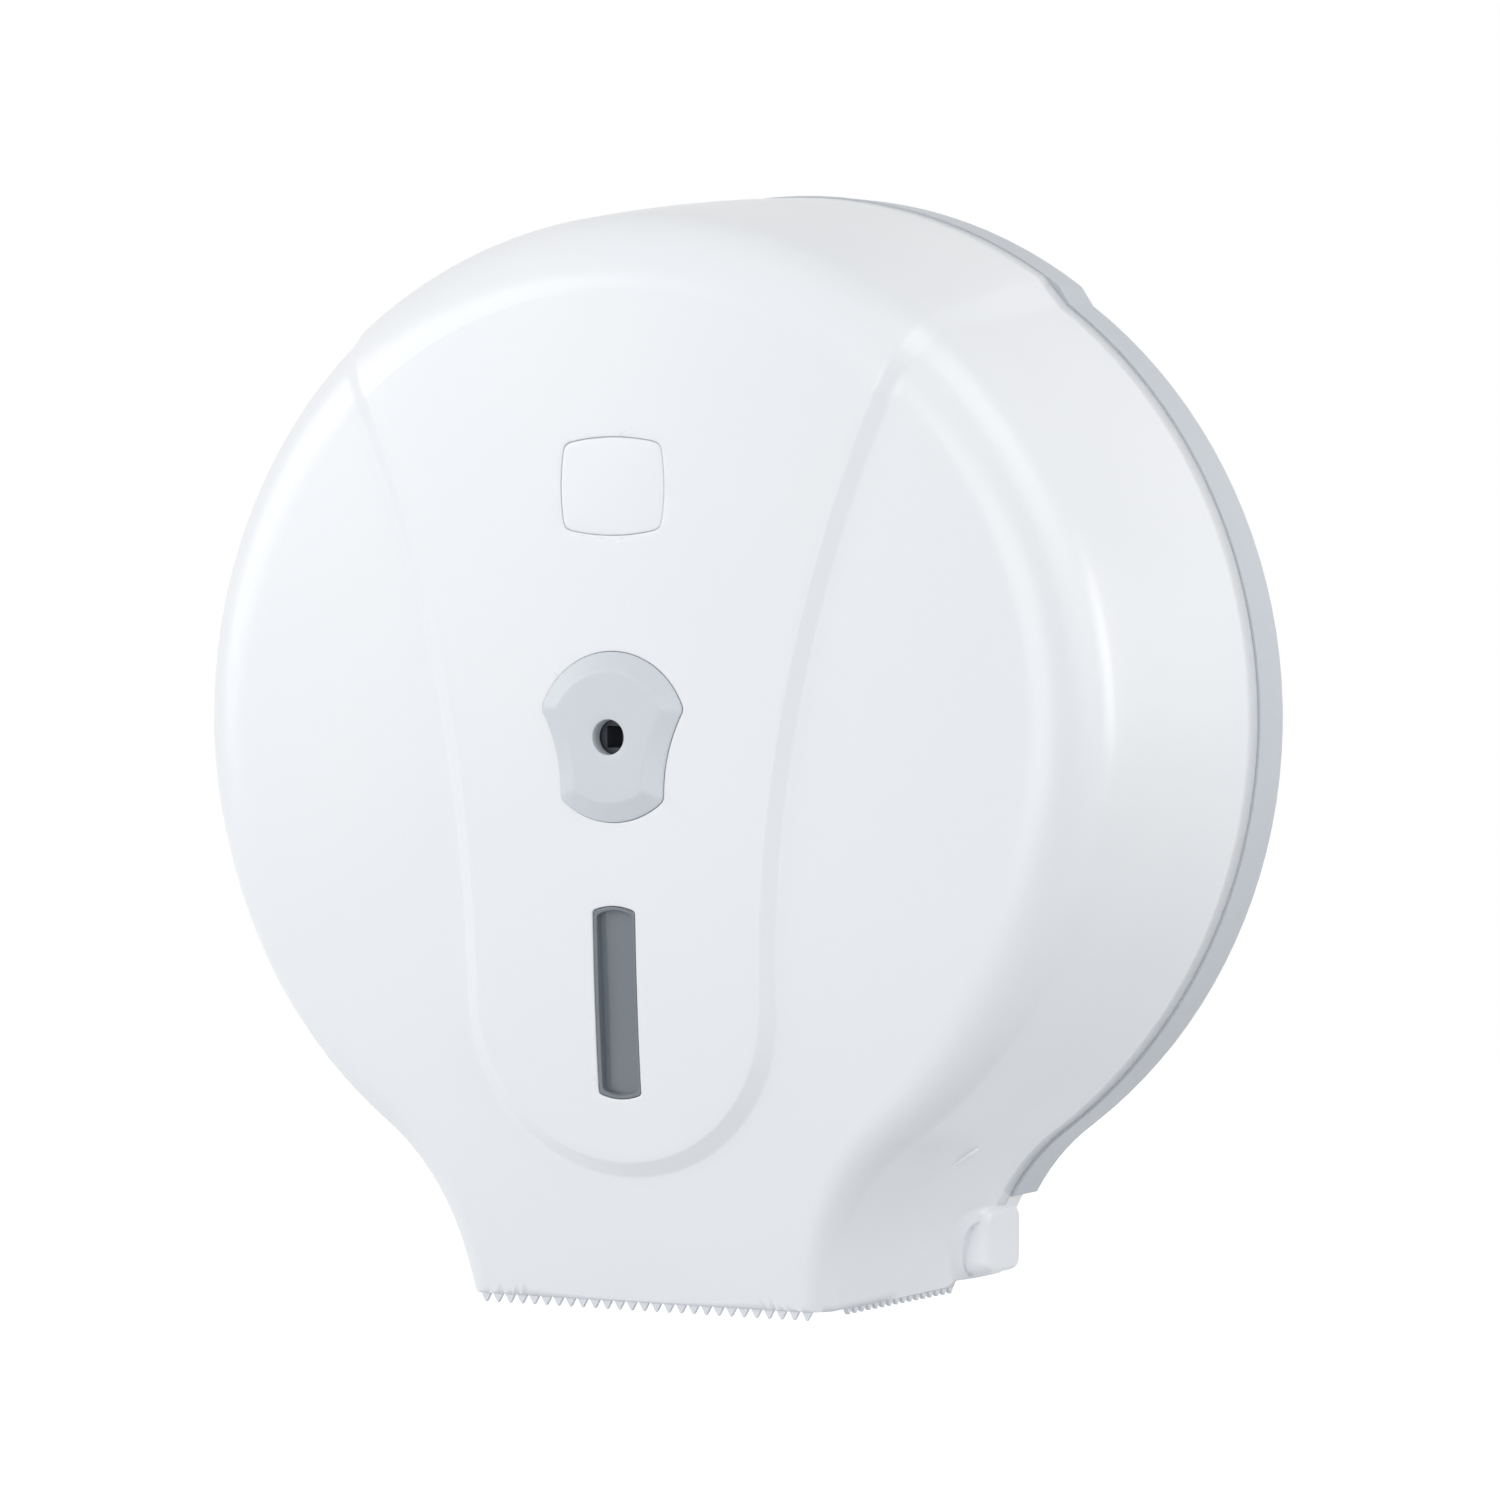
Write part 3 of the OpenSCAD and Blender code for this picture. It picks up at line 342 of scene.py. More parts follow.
def soft_ramp(q, soft=0.1):
    """Rises from 0 to 1 as q does, straight in the middle and rounded at both ends."""
    q = np.clip(q, 0, 1)
    low = q * q / (2 * soft * (1 - soft))
    high = 1 - (1 - q) ** 2 / (2 * soft * (1 - soft))
    return np.where(q < soft, low, np.where(q > 1 - soft, high, (q - soft / 2) / (1 - soft)))


def crossing(level):
    """Share along each ray where the panel share reaches the level, by halving the interval again and again."""
    low, high = np.zeros(HALF), np.ones(HALF)
    for _ in range(HALVINGS):
        mid = (low + high) / 2
        inside = panel_share(*ray(mid, 0.0)) > level
        low, high = np.where(inside, low, mid), np.where(inside, mid, high)
    return high


band_out = np.maximum(crossing(0.0), LEAST_START)
band_in = np.maximum(crossing(1.0), band_out + LEAST_BAND)
print("panel half width at the top:", round(float(TOP_W), 1), "mm, front radius", round(float(front_r), 1))

# %% [markdown]
# The outer skin is the plain skin plus a share of the way to the crown's own surface, which has its own radius and
# its own front edge. The inner skin is plain, 2.5 mm behind, so the crown and the panel are solid.
# %% Rows of both skins
SIDE_ROWS, EDGE_ROWS, OUTSIDE_ROWS, BAND_ROWS, PANEL_ROWS = 12, 15, 14, 14, 22
INNER_SIDE_ROWS, INNER_EDGE_ROWS, INNER_FACE_ROWS = 6, 8, 16
EDGE_FADE = 0.2


def raised(row, to, q):
    """A row moved towards another by the soft ramp of q."""
    s = soft_ramp(q)
    return [lerp(a, b, s) for a, b in zip(row, to)]


def crown_edge(a, turn):
    """The crown's own front edge at angle a."""
    depth = BODY_DEPTH - EDGE_R * (1 - sind(turn)) + PANEL_RISE - BOW * (front_r * sind(a) / BODY_R) ** 2
    r = crown_r(a, depth) - EDGE_R * (1 - cosd(turn))
    return r * sind(a), depth, r * cosd(a)


def outer_rows():
    """All rows of the outer skin, from the back edge to the middle line."""
    rows = []
    for v in np.linspace(0, 1, SIDE_ROWS + 1)[:-1]:
        x, depth, z = side_row(v, 0.0)
        a = np.degrees(np.arctan2(x, z))
        far = lerp(COVER_BACK, crown_edge(a, 0)[1], v)
        r = crown_r(a, far)
        q = np.where(on_drum, crown_share(a, depth), 0)
        rows.append(raised((x, depth, z), (r * sind(a), far, r * cosd(a)), q))
    for turn in np.linspace(0, 90, EDGE_ROWS + 1):
        x, depth, z = edge_row(turn, 0.0)
        a = np.degrees(np.arctan2(x, z))
        q = lerp(crown_share(a, depth), panel_share(x, depth, z), ease(turn / 90))
        rows.append(raised((x, depth, z), crown_edge(a, turn), np.where(on_drum, q, 0)))
    edge_x, _, edge_z = edge_row(90, 0.0)
    crown_x, _, crown_z = crown_edge(np.degrees(np.arctan2(edge_x, edge_z)), 90)
    shift_x, shift_z = np.where(on_drum, crown_x - edge_x, 0), np.where(on_drum, crown_z - edge_z, 0)
    shares = [
        *(band_out * s for s in steps(OUTSIDE_ROWS)),
        *(lerp(band_out, band_in, s) for s in steps(BAND_ROWS)),
        *(lerp(band_in, 1.0, s) for s in steps(PANEL_ROWS)),
    ]
    for t in shares:
        x, depth, z = ray(t, 0.0)
        near = ease(1 - t / EDGE_FADE)
        to = (x + shift_x * near, depth + PANEL_RISE, z + shift_z * near)
        rows.append(raised((x, depth, z), to, panel_share(x, depth, z)))
    return rows


def inner_rows():
    """All rows of the inner skin, from the back edge to the middle line."""
    rows = [side_row(v, WALL) for v in np.linspace(0, 1, INNER_SIDE_ROWS + 1)[:-1]]
    rows += [edge_row(turn, WALL) for turn in np.linspace(0, 90, INNER_EDGE_ROWS + 1)]
    return rows + [ray(t, WALL) for t in steps(INNER_FACE_ROWS)]


def whole(rows):
    """Both halves of each row as points (rows, columns, 3): the left half is the right one mirrored."""
    grid = np.array([[x, -depth, z] for x, depth, z in rows]).transpose(0, 2, 1)
    left = grid[:, -2:0:-1] * [-1, 1, 1]
    return np.concatenate([grid, left], axis=1)


outer, inner = whole(outer_rows()), whole(inner_rows())
shell = np.concatenate([inner[::-1].reshape(-1, 3), outer.reshape(-1, 3)])
shell_faces = band_faces(len(inner) + len(outer), outer.shape[1])
print("outer skin", outer.shape[:2], "inner skin", inner.shape[:2])

# %% [markdown]
# The skins meet along the back edge. The lower end is cut level at the mouth and the cut wall is closed, which
# leaves the opening that the paper hangs out of.
# %% Cut the mouth
def cut_level(piece, z):
    """Removes what lies below z (mm) and closes the cut with flat faces."""
    shape = bmesh.new()
    shape.from_mesh(piece.data)
    geometry = shape.verts[:] + shape.edges[:] + shape.faces[:]
    cut = bmesh.ops.bisect_plane(
        shape, geom=geometry, plane_co=(0, 0, z * MM), plane_no=(0, 0, -1), clear_outer=True, dist=1e-7
    )
    edges = [e for e in cut["geom_cut"] if isinstance(e, bmesh.types.BMEdge)]
    bmesh.ops.triangle_fill(shape, edges=edges, use_beauty=True)
    bmesh.ops.recalc_face_normals(shape, faces=shape.faces)
    shape.to_mesh(piece.data)
    open_edges = sum(not e.is_manifold for e in shape.edges)
    shape.free()
    return open_edges


cover = make_piece("cover_moulding", shell, shell_faces)
print("open edges after the cut:", cut_level(cover, -MOUTH_Z), "faces:", len(cover.data.polygons))

# %% [markdown]
# ## Places cut into the cover
# The lock plate, the badge and the window each sit in a recess. A cutter is a stack of rings that follows one
# outline; its top rings open out, which leaves a small rounded lip on the moulding, as a mould tool does.
# %% Outlines for the recesses
# The lock plate: height and radius of its circle, radius and centre of the right bite.
LOCK_Z, PLATE_R, BITE_R, BITE_X, BITE_Z = -3.6, 22.2, 44.6, 59.7, -14.8
# The badge and the window: width, height, place, and how their sides bow.
BADGE_W, BADGE_H, BADGE_Z, BADGE_BOW = 30.5, 25.5, 61.6, 60.0
WINDOW_W, WINDOW_H, WINDOW_Z, WINDOW_ARCH = 12.4, 50.4, -73.0, 1.3
SEAT_GAP, ARC_POINTS = 0.15, 60


def front_depth(x, z):
    """Depth of the raised panel's surface."""
    return face_depth(x, z) + PANEL_RISE


def even(points, n):
    """A closed line of points, spaced anew in n equal steps along its length."""
    points = np.vstack([points, points[:1]])
    along = np.append(0, np.cumsum(np.hypot(*np.diff(points, axis=0).T)))
    at = np.linspace(0, along[-1], n + 1)[:-1]
    return np.stack([np.interp(at, along, points[:, 0]), np.interp(at, along, points[:, 1])], axis=1)


def softened(points, width):
    """Rounds the corners of an evenly spaced closed line: each point becomes the mean of its neighbours."""
    return sum(np.roll(points, k, axis=0) for k in range(-width, width + 1)) / (2 * width + 1)


def cross_point(r, b, upper):
    """Where a circle of radius r about the lock axis meets the right bite's circle of radius b."""
    d = np.hypot(BITE_X, BITE_Z)
    a = (r * r - b * b + d * d) / (2 * d)
    h = np.sqrt(r * r - a * a) * (1 if upper else -1)
    u = np.array([BITE_X, BITE_Z]) / d
    return a * u + h * np.array([-u[1], u[0]])


def arc(centre, start, end, n):
    """n points on the short arc about a centre, from start up to but without end."""
    f, g = start - centre, end - centre
    a0 = np.arctan2(f[1], f[0])
    sweep = (np.arctan2(g[1], g[0]) - a0 + np.pi) % (2 * np.pi) - np.pi
    a = a0 + sweep * np.arange(n) / n
    return centre + np.hypot(*f) * np.stack([np.cos(a), np.sin(a)], axis=1)


def plate_line(inset, n=240):
    """Outline of the lock plate about its own axis: a circle with a hollow bite on each side, drawn in by inset."""
    tip, heel = (cross_point(PLATE_R - inset, BITE_R + inset, up) for up in (True, False))
    flip, centre, bite = np.array([-1, 1]), np.zeros(2), np.array([BITE_X, BITE_Z])
    top, low = np.array([0, PLATE_R - inset]), np.array([0, inset - PLATE_R])
    line = np.concatenate([arc(about, start, end, ARC_POINTS) for about, start, end in [
        (centre, top, tip), (bite, tip, heel), (centre, heel, low),
        (centre, low, heel * flip), (bite * flip, heel * flip, tip * flip), (centre, tip * flip, top),
    ]])
    return softened(even(line, n), 2)


def badge_line(grow, n=160):
    """Outline of the badge: four bowed sides with rounded corners."""
    w, h = BADGE_W / 2 + grow, BADGE_H / 2 + grow
    a = np.linspace(0, 2 * np.pi, 4 * n, endpoint=False)
    reach = np.full(4 * n, np.inf)
    for cx, cz in ((BADGE_BOW - w, 0), (w - BADGE_BOW, 0), (0, BADGE_BOW - h), (0, h - BADGE_BOW)):
        along = cx * np.sin(a) + cz * np.cos(a)
        reach = np.minimum(reach, along + np.sqrt(along ** 2 + BADGE_BOW ** 2 - cx * cx - cz * cz))
    line = even(np.stack([reach * np.sin(a), reach * np.cos(a)], axis=1), n)
    return softened(softened(line, 2), 2)


def window_line(grow, n=200):
    """Outline of the window: straight sides, and ends that bow out by the arch."""
    w, h = WINDOW_W / 2 + grow, WINDOW_H / 2 + grow
    x = np.linspace(-w, w, 40, endpoint=False)
    side = np.linspace(h - WINDOW_ARCH, WINDOW_ARCH - h, 120, endpoint=False)
    half = np.concatenate([
        np.stack([x, h - WINDOW_ARCH * (x / w) ** 2], 1), np.stack([np.full(len(side), w), side], 1)
    ])
    return softened(even(np.concatenate([half, -half]), n), 1)


print("lock plate outline:", plate_line(0).shape, "badge:", badge_line(0).shape, "window:", window_line(0).shape)

# %% [markdown]
# A recess goes down from the panel's own curved surface, so each ring takes its depth from the surface under it. The
# last cutter raises the lower edge of the side walls a little beside the knuckles.
# %% Cutters
# How deep the seats go, and how far cutters reach over the panel, into the seat above and past the inner skin.
PLATE_SINK, BADGE_SINK, WINDOW_CUT, CUT_OVER, HOLE_OVER, CUT_PAST = 1.6, 1.2, 12.0, 2.0, 0.5, 3.0
# Radii of the rounded lips.
PLATE_LIP, BADGE_LIP, WINDOW_LIP, LIP_STEPS = 0.25, 0.3, 0.4, 5
PANEL_DEPTH, SKIN_DEPTH = BODY_DEPTH + PANEL_RISE, BODY_DEPTH - WALL
PLATE_BACK, BADGE_BACK = PANEL_DEPTH - PLATE_SINK, PANEL_DEPTH - BADGE_SINK


def sunk(line, z0, down):
    """An outline laid on the panel about height z0, then moved towards the wall by down."""
    x, z = line[:, 0], line[:, 1] + z0
    return np.stack([x, down - front_depth(x, z), z], axis=1)


def flat(line, z0, depth):
    """An outline laid level at one depth."""
    return np.stack([line[:, 0], np.full(len(line), -depth), line[:, 1] + z0], axis=1)


def lipped(outline_at, z0, floor_ring, lip):
    """Rings of a cutter: a floor, a straight wall, and a lip rounded by a quarter circle of radius lip."""
    rings = [floor_ring]
    for a in np.linspace(0, 90, LIP_STEPS + 1):
        rings.append(sunk(outline_at(SEAT_GAP + lip * (1 - cosd(a))), z0, lip * (1 - sind(a))))
    rings.append(sunk(outline_at(SEAT_GAP + lip), z0, -CUT_OVER))
    return rings


cutters = [
    stack(lipped(lambda g: plate_line(-g), LOCK_Z, flat(plate_line(-SEAT_GAP), LOCK_Z, PLATE_BACK), PLATE_LIP)),
    stack(lipped(badge_line, BADGE_Z, flat(badge_line(SEAT_GAP), BADGE_Z, BADGE_BACK), BADGE_LIP)),
    stack(lipped(window_line, WINDOW_Z, sunk(window_line(SEAT_GAP), WINDOW_Z, WINDOW_CUT), WINDOW_LIP)),
]


def circle(r, n=48):
    """A circle of radius r as a line of points."""
    a = np.linspace(0, 2 * np.pi, n, endpoint=False)
    return r * np.stack([np.sin(a), np.cos(a)], axis=1)


def post(line, x, z0, start, end):
    """A straight solid post with the outline of line, x to the side, from one depth to another."""
    return stack([flat(line + [x, 0], z0, depth) for depth in (start, end)])


BARREL_HEAD, PEG_X, PEG_R, BADGE_PEG_X, BADGE_PEG_R = 7.0, 13.0, 2.8, 9.0, 1.5
BADGE_ROOT = PANEL_DEPTH - 1.0
cutters.append(post(circle(BARREL_HEAD + SEAT_GAP), 0, LOCK_Z, SKIN_DEPTH - CUT_PAST, PLATE_BACK + HOLE_OVER))
for line, x, z0, top in [
    (circle(PEG_R + SEAT_GAP, 32), PEG_X, LOCK_Z, PLATE_BACK + HOLE_OVER),
    (circle(BADGE_PEG_R + SEAT_GAP, 24), BADGE_PEG_X, BADGE_Z, BADGE_ROOT),
]:
    cutters += [post(line, side * x, z0, SKIN_DEPTH - CUT_PAST, top) for side in SIDES]


def apply_modifiers(piece):
    """Replaces the piece's mesh by its finished one."""
    done = bpy.data.meshes.new_from_object(piece.evaluated_get(bpy.context.evaluated_depsgraph_get()))
    piece.modifiers.clear()
    piece.data = done


def carve(piece, solids):
    """Cuts closed solids out of the piece; the result is closed too."""
    for k, (points, faces) in enumerate(solids):
        tool = make_piece(f"tool_{k}", points, faces)
        step = piece.modifiers.new("carve", "BOOLEAN")
        step.operation, step.object, step.solver = "DIFFERENCE", tool, "MANIFOLD"
        apply_modifiers(piece)
        bpy.data.objects.remove(tool)


NOTCH_REACH = 75.0
MOUTH_NOTCH = [[-33.0, -153.2], [-31.2, -151.3], [-14.0, -151.2], [-14.0, -156.0], [-33.0, -156.0]]
cutters.append(stack([np.insert(MOUTH_NOTCH, 0, side * NOTCH_REACH, axis=1) for side in SIDES]))
carve(cover, cutters)
print("cover after the recesses:", len(cover.data.polygons), "faces")

# %% [markdown]
# ## Tear teeth
# A row of small pointed teeth hangs from the mouth's front and side walls, so that paper tears off on any side. The
# row is a thin wall carried along the mouth; its lower edge drops to a rounded tip once per pitch.
# %% Teeth
# Pitch, height in front and at the sides, thickness, how far behind the wall's face, share of the pitch at the foot.
TOOTH, TOOTH_H, SIDE_H, TOOTH_T, TOOTH_BACK, TOOTH_FOOT = 3.7, 2.4, 1.8, 1.4, 0.3, 0.76
FRONT_TEETH, SIDE_TEETH, SIDE_FROM, SIDE_TO = 27, 16, 30.9, 90.1
TOOTH_STEPS, TIP_ROUND, TOOTH_STEEP, TOOTH_START = 24, 0.012, 1.11, 0.05


def tooth_drop(count, height):
    """How far the lower edge hangs down, in many steps a pitch: nothing in the gaps, then straight flanks that meet
    in a tip rounded by the square root of a sum of squares."""
    phase = np.arange(TOOTH_STEPS * count + 1) / TOOTH_STEPS % 1.0
    off = np.sqrt((2 * (phase - 0.5)) ** 2 + TIP_ROUND)
    return height * np.clip(TOOTH_STEEP * (1 - off / TOOTH_FOOT) + TOOTH_START, 0, 1)


def tooth_row(path, outwards, drop):
    """A wall that hangs from path (n, 3), with outward directions (n, 3), down to drop (n) below the mouth. Its
    section is a list of points: how far across, the share of the drop, and how far up."""
    n = len(path)
    section = [
        (0, 0, 1.6), (0, 0, 0.1), (-0.02, 1, 0.06), (-0.2, 1, 0), (-TOOTH_T + 0.4, 1, 0), (-TOOTH_T + 0.12, 1, 0.12),
        (-TOOTH_T, 1, 0.5), (-TOOTH_T, 0, 1.6),
    ]
    rows = [
        path + outwards * across - np.array([0, 0, 1.0]) * (drop * share_down - up)[:, None]
        for across, share_down, up in section
    ]
    faces = band_faces(len(rows), n, closed=False)
    ends = [[j * n for j in range(len(rows))], [j * n + n - 1 for j in range(len(rows))]]
    top = [[k, k + 1, (len(rows) - 1) * n + k + 1, (len(rows) - 1) * n + k] for k in range(n - 1)]
    return np.array(rows).reshape(-1, 3), faces + ends + top


drop = tooth_drop(FRONT_TEETH, TOOTH_H)
mouth = np.full(len(drop), -MOUTH_Z)
front_x = np.linspace(-0.5, 0.5, len(drop)) * FRONT_TEETH * TOOTH
path = np.stack([front_x, TOOTH_BACK - face_depth(front_x, mouth), mouth], axis=1)
tooth_parts = [tooth_row(path, np.tile([0, -1.0, 0], (len(drop), 1)), drop)]
drop = tooth_drop(SIDE_TEETH, SIDE_H)
mouth = np.full(len(drop), -MOUTH_Z)
depth = np.linspace(SIDE_FROM, SIDE_TO, len(drop))
for side in SIDES:
    path = np.stack([side * (mouth_w(depth) - TOOTH_BACK), -depth, mouth], axis=1)
    tooth_parts.append(tooth_row(path, np.tile([side, 0, 0], (len(drop), 1)), drop))
teeth = make_piece("tear_teeth", *joined(tooth_parts))
crease(teeth, angle=50)
print("teeth:", FRONT_TEETH + 2 * SIDE_TEETH)

# %% [markdown]
# ## Hinge knuckles
# At each lower back corner the flank swells into a hood round a squared pad that holds the hinge pin, with a hollow
# between the two. It is one height map laid on the leaning flank. A slim bead stands on the flank further forward.
# %% Knuckles
# Where the boss's face and back lie, the width of its rounded edge, the rise of the hood.
KNUCKLE_X, KNUCKLE_IN, PAD_EDGE, HOOD_RISE = 65.2, 51.8, 2.2, 1.5
# Centre, half size and corner radius of the pad, and of its part that reaches in to the ear.
PAD, PAD_HALF, PAD_CORNER = (-18.7, -141.2), (10.9, 9.3), 4.2
EAR_PAD, EAR_PAD_HALF, EAR_PAD_CORNER = (-18.7, -142.0), (10.9, 8.4), 3.4
# The hood: centre, slant, roundness, and its reach to the front, to the back and upwards.
HOOD_Y, HOOD_Z, HOOD_SLANT, HOOD_POWER = -24.0, -143.0, 0.46, 2.5
HOOD_FRONT, HOOD_BACK, HOOD_UP, HOOD_SLOPE = 16.5, 26.0, 12.4, 0.4
# Where the hollow and the fill behind it start, and how softly.
SCOOP_FROM, SCOOP_OVER, FILL_Z, FILL_Y, FILL_SLOPE, FILL_BELOW = 0.52, 0.12, -136.5, -33.0, 0.3, 1.0
# The patch of the flank that the grid covers: from, to and number of points along Y and along Z.
PATCH_Y, PATCH_Z = (-43, -7.7, 118), (-151.2, -129.5, 74)
SUNK_IN, INTO_WALL, EAR_BLEND = 0.06, 1.2, 0.3


def flank_x(z, d):
    """The flank's distance from the middle at height z and depth d: straight at first, then the hollow's arc."""
    cx, cz = fillet_centre(d)
    lean = flank_lean(d)
    straight = mouth_w(d) + (MOUTH_Z + z) * tand(lean)
    bend = cx - np.sqrt(np.maximum(FILLET ** 2 - (z - cz) ** 2, 0))
    return np.where(z > cz + FILLET * sind(lean), bend, straight)


def box_distance(y, z, centre, half, r):
    """Distance outside a rectangle with corners of radius r; negative inside."""
    dy, dz = np.abs(y - centre[0]) - half[0] + r, np.abs(z - centre[1]) - half[1] + r
    return np.hypot(np.maximum(dy, 0), np.maximum(dz, 0)) + np.minimum(np.maximum(dy, dz), 0) - r


def knuckle_height(y, z):
    """How far the boss stands off the flank: a pad with rounded edges and a hood that swells towards it, hollowed
    out just before the pad's front edge."""
    off = box_distance(y, z, PAD, PAD_HALF, PAD_CORNER)
    rise = KNUCKLE_X - flank_x(z, -y)
    edge = np.clip(-off / PAD_EDGE, 0, 1)
    pad = rise * np.sqrt(1 - (1 - edge) ** 2)
    up = z - HOOD_Z
    across = y - HOOD_Y + HOOD_SLANT * up
    along = np.abs(across / np.where(across < 0, HOOD_FRONT, HOOD_BACK))
    reach = (along ** HOOD_POWER + np.abs(up / HOOD_UP) ** HOOD_POWER) ** (1 / HOOD_POWER)
    hood = HOOD_RISE * ease((1 - reach) / HOOD_SLOPE)
    scoop = ease((reach - SCOOP_FROM) / SCOOP_OVER)
    fill = (rise - FILL_BELOW) * ease((z - FILL_Z) / 4) * ease((y - FILL_Y) / 5)
    return np.maximum(pad, np.maximum(hood * scoop, fill * ease((1 - reach) / FILL_SLOPE)))


def knuckle(side):
    """A closed pad: its outer face follows the height map. Its back lies inside the cover's wall, and behind the
    cover's back edge it reaches in to the hinge's ear."""
    yy, zz = np.meshgrid(np.linspace(*PATCH_Y), np.linspace(*PATCH_Z), indexing="ij")
    outer_x = flank_x(zz, -yy) - SUNK_IN + knuckle_height(yy, zz)
    on_ear_pad = box_distance(yy, zz, EAR_PAD, EAR_PAD_HALF, EAR_PAD_CORNER) < 0
    behind = ease((yy + COVER_BACK) / EAR_BLEND) * on_ear_pad
    inner_x = lerp(flank_x(zz, -yy) - INTO_WALL, KNUCKLE_IN, behind)
    m, n = zz.shape
    front = np.stack([side * outer_x, yy, zz], axis=-1).reshape(-1, 3)
    back = np.stack([side * inner_x, yy, zz], axis=-1).reshape(-1, 3)
    faces = band_faces(m, n, closed=False) + band_faces(m, n, first=m * n, closed=False)
    border = (
        [k * n for k in range(m)] + [(m - 1) * n + k for k in range(1, n)]
        + [k * n + n - 1 for k in range(m - 2, -1, -1)] + [k for k in range(n - 2, 0, -1)]
    )
    faces += [[a, b, b + m * n, a + m * n] for a, b in zip(border, border[1:] + border[:1])]
    return np.concatenate([front, back]), faces


BEAD_DEPTH, BEAD_Z, BEAD_R, BEAD_TAPER, BEAD_POINT = (63.4, 57.6), (-117.6, -112.4), 1.1, 1.6, 0.003


def bead(side):
    """A slim drop half sunk in the flank: rings about a line that follows the surface, thickest near its upper end."""
    t, turn = np.linspace(0, 1, 15), np.linspace(0, 2 * np.pi, 20, endpoint=False)
    depth, z = lerp(*BEAD_DEPTH, t), lerp(*BEAD_Z, t)
    centre = np.stack([side * flank_x(z, depth), -depth, z], axis=1)
    along = (centre[-1] - centre[0]) / np.linalg.norm(centre[-1] - centre[0])
    across = np.cross(along, [side, 0, 0])
    across /= np.linalg.norm(across)
    out = np.cross(across, along)
    r = BEAD_R * np.sqrt(np.maximum(np.sin(np.pi * t ** BEAD_TAPER), BEAD_POINT))
    ring = np.cos(turn)[:, None] * across + np.sin(turn)[:, None] * out
    return stack([c + ring * k for c, k in zip(centre, r)])


knuckles = make_piece("hinge_knuckles", *joined([make(side) for side in SIDES for make in (knuckle, bead)]))
crease(knuckles, angle=60)
print("knuckle faces:", len(knuckles.data.polygons))

# %% [markdown]
# ## Lock plate
# A light grey plate with a hollow bite on each side. All its edges fall away in a wide bevel, and a round hole leads
# to the key socket. Rings run out along the back, climb the bevel, cross the front and turn into the hole.
# %% Lock plate
# Radius of the hole, rise over the panel, width of the bevel, height of the upright edge and its break, hole's lip.
KEY_R, PLATE_RISE, BEVEL, PLATE_EDGE, EDGE_BREAK, HOLE_LIP = 4.6, 2.3, 5.0, 1.9, 0.1, 0.35
# Where the straight bevel ends, over what share it rounds off, and how far it still rises there.
BEVEL_END, BEVEL_ROUND, BEVEL_DIP = 0.93, 0.16, 0.07
PLATE_FRONT, PLATE_LOW = PANEL_DEPTH + PLATE_RISE, PLATE_BACK + PLATE_EDGE


def plate_rings():
    """Rings of the plate from the hole's back, outwards and over the front, back into the hole."""
    line = plate_line(0)
    at = np.degrees(np.arctan2(line[:, 0], line[:, 1]))

    def hole(r):
        """A circle of radius r with its points at the outline's angles."""
        return r * np.stack([sind(at), cosd(at)], axis=1)

    line_depths = [(hole(KEY_R), PLATE_BACK), (line, PLATE_BACK), (line, PLATE_LOW - 0.15)]
    high, slope = PLATE_FRONT, PLATE_FRONT - PLATE_LOW
    for s in np.linspace(0.02, BEVEL_END, 12):
        line_depths.append((plate_line(EDGE_BREAK + s * (BEVEL - EDGE_BREAK)), PLATE_LOW + s * slope))
    for s in steps(5):
        line_depths.append((plate_line(BEVEL * (BEVEL_END + BEVEL_ROUND * s)), high - BEVEL_DIP * slope * (1 - s) ** 2))
    top_line = plate_line(BEVEL * (BEVEL_END + BEVEL_ROUND))
    line_depths += [(lerp(top_line, hole(KEY_R + HOLE_LIP), s), high) for s in steps(5)]
    for a in 90 * steps(4):
        line_depths.append((hole(KEY_R + HOLE_LIP * (1 - sind(a))), high - HOLE_LIP * (1 - cosd(a))))
    line_depths.append((hole(KEY_R), PLATE_BACK))
    return [flat(ring, LOCK_Z, depth) for ring, depth in line_depths]


rings = plate_rings()
plate_parts = [(np.concatenate(rings), band_faces(len(rings), len(rings[0])))]
PEG_END, PEG_ROOT = SKIN_DEPTH - 0.5, PLATE_BACK + 0.2
plate_parts += [post(circle(PEG_R, 32), side * PEG_X, LOCK_Z, PEG_END, PEG_ROOT) for side in SIDES]
lock_plate = make_piece("lock_plate_bevelled", *joined(plate_parts))
crease(lock_plate, angle=40)
print("lock plate faces:", len(lock_plate.data.polygons))

# %% [markdown]
# ## Badge
# A blank plate, slightly domed, with rounded edges. It sits in its recess with a fine groove all round.
# %% Badge
BADGE_ROUND, BADGE_DOWN, BADGE_DOME, BADGE_FOOT, BADGE_PEG_OUT = 0.5, 0.05, 0.15, 0.1, 1.8
badge_rings = [flat(badge_line(-BADGE_FOOT), BADGE_Z, BADGE_BACK)]
for a in np.linspace(90, 0, 6):
    rim = badge_line(-BADGE_ROUND + BADGE_ROUND * sind(a))
    badge_rings.append(sunk(rim, BADGE_Z, BADGE_DOWN + BADGE_ROUND * (1 - cosd(a))))
for s in np.linspace(1, 0.05, 14)[1:]:
    badge_rings.append(sunk(badge_line(-BADGE_ROUND) * s, BADGE_Z, BADGE_DOWN - BADGE_DOME * (1 - s ** 2)))
badge_peg, badge_peg_end = circle(BADGE_PEG_R, 24), SKIN_DEPTH - BADGE_PEG_OUT
badge_pegs = [post(badge_peg, side * BADGE_PEG_X, BADGE_Z, badge_peg_end, BADGE_ROOT) for side in SIDES]
badge = make_piece("badge_blank", *joined([stack(badge_rings), *badge_pegs]))
crease(badge, angle=40)
print("badge faces:", len(badge.data.polygons))

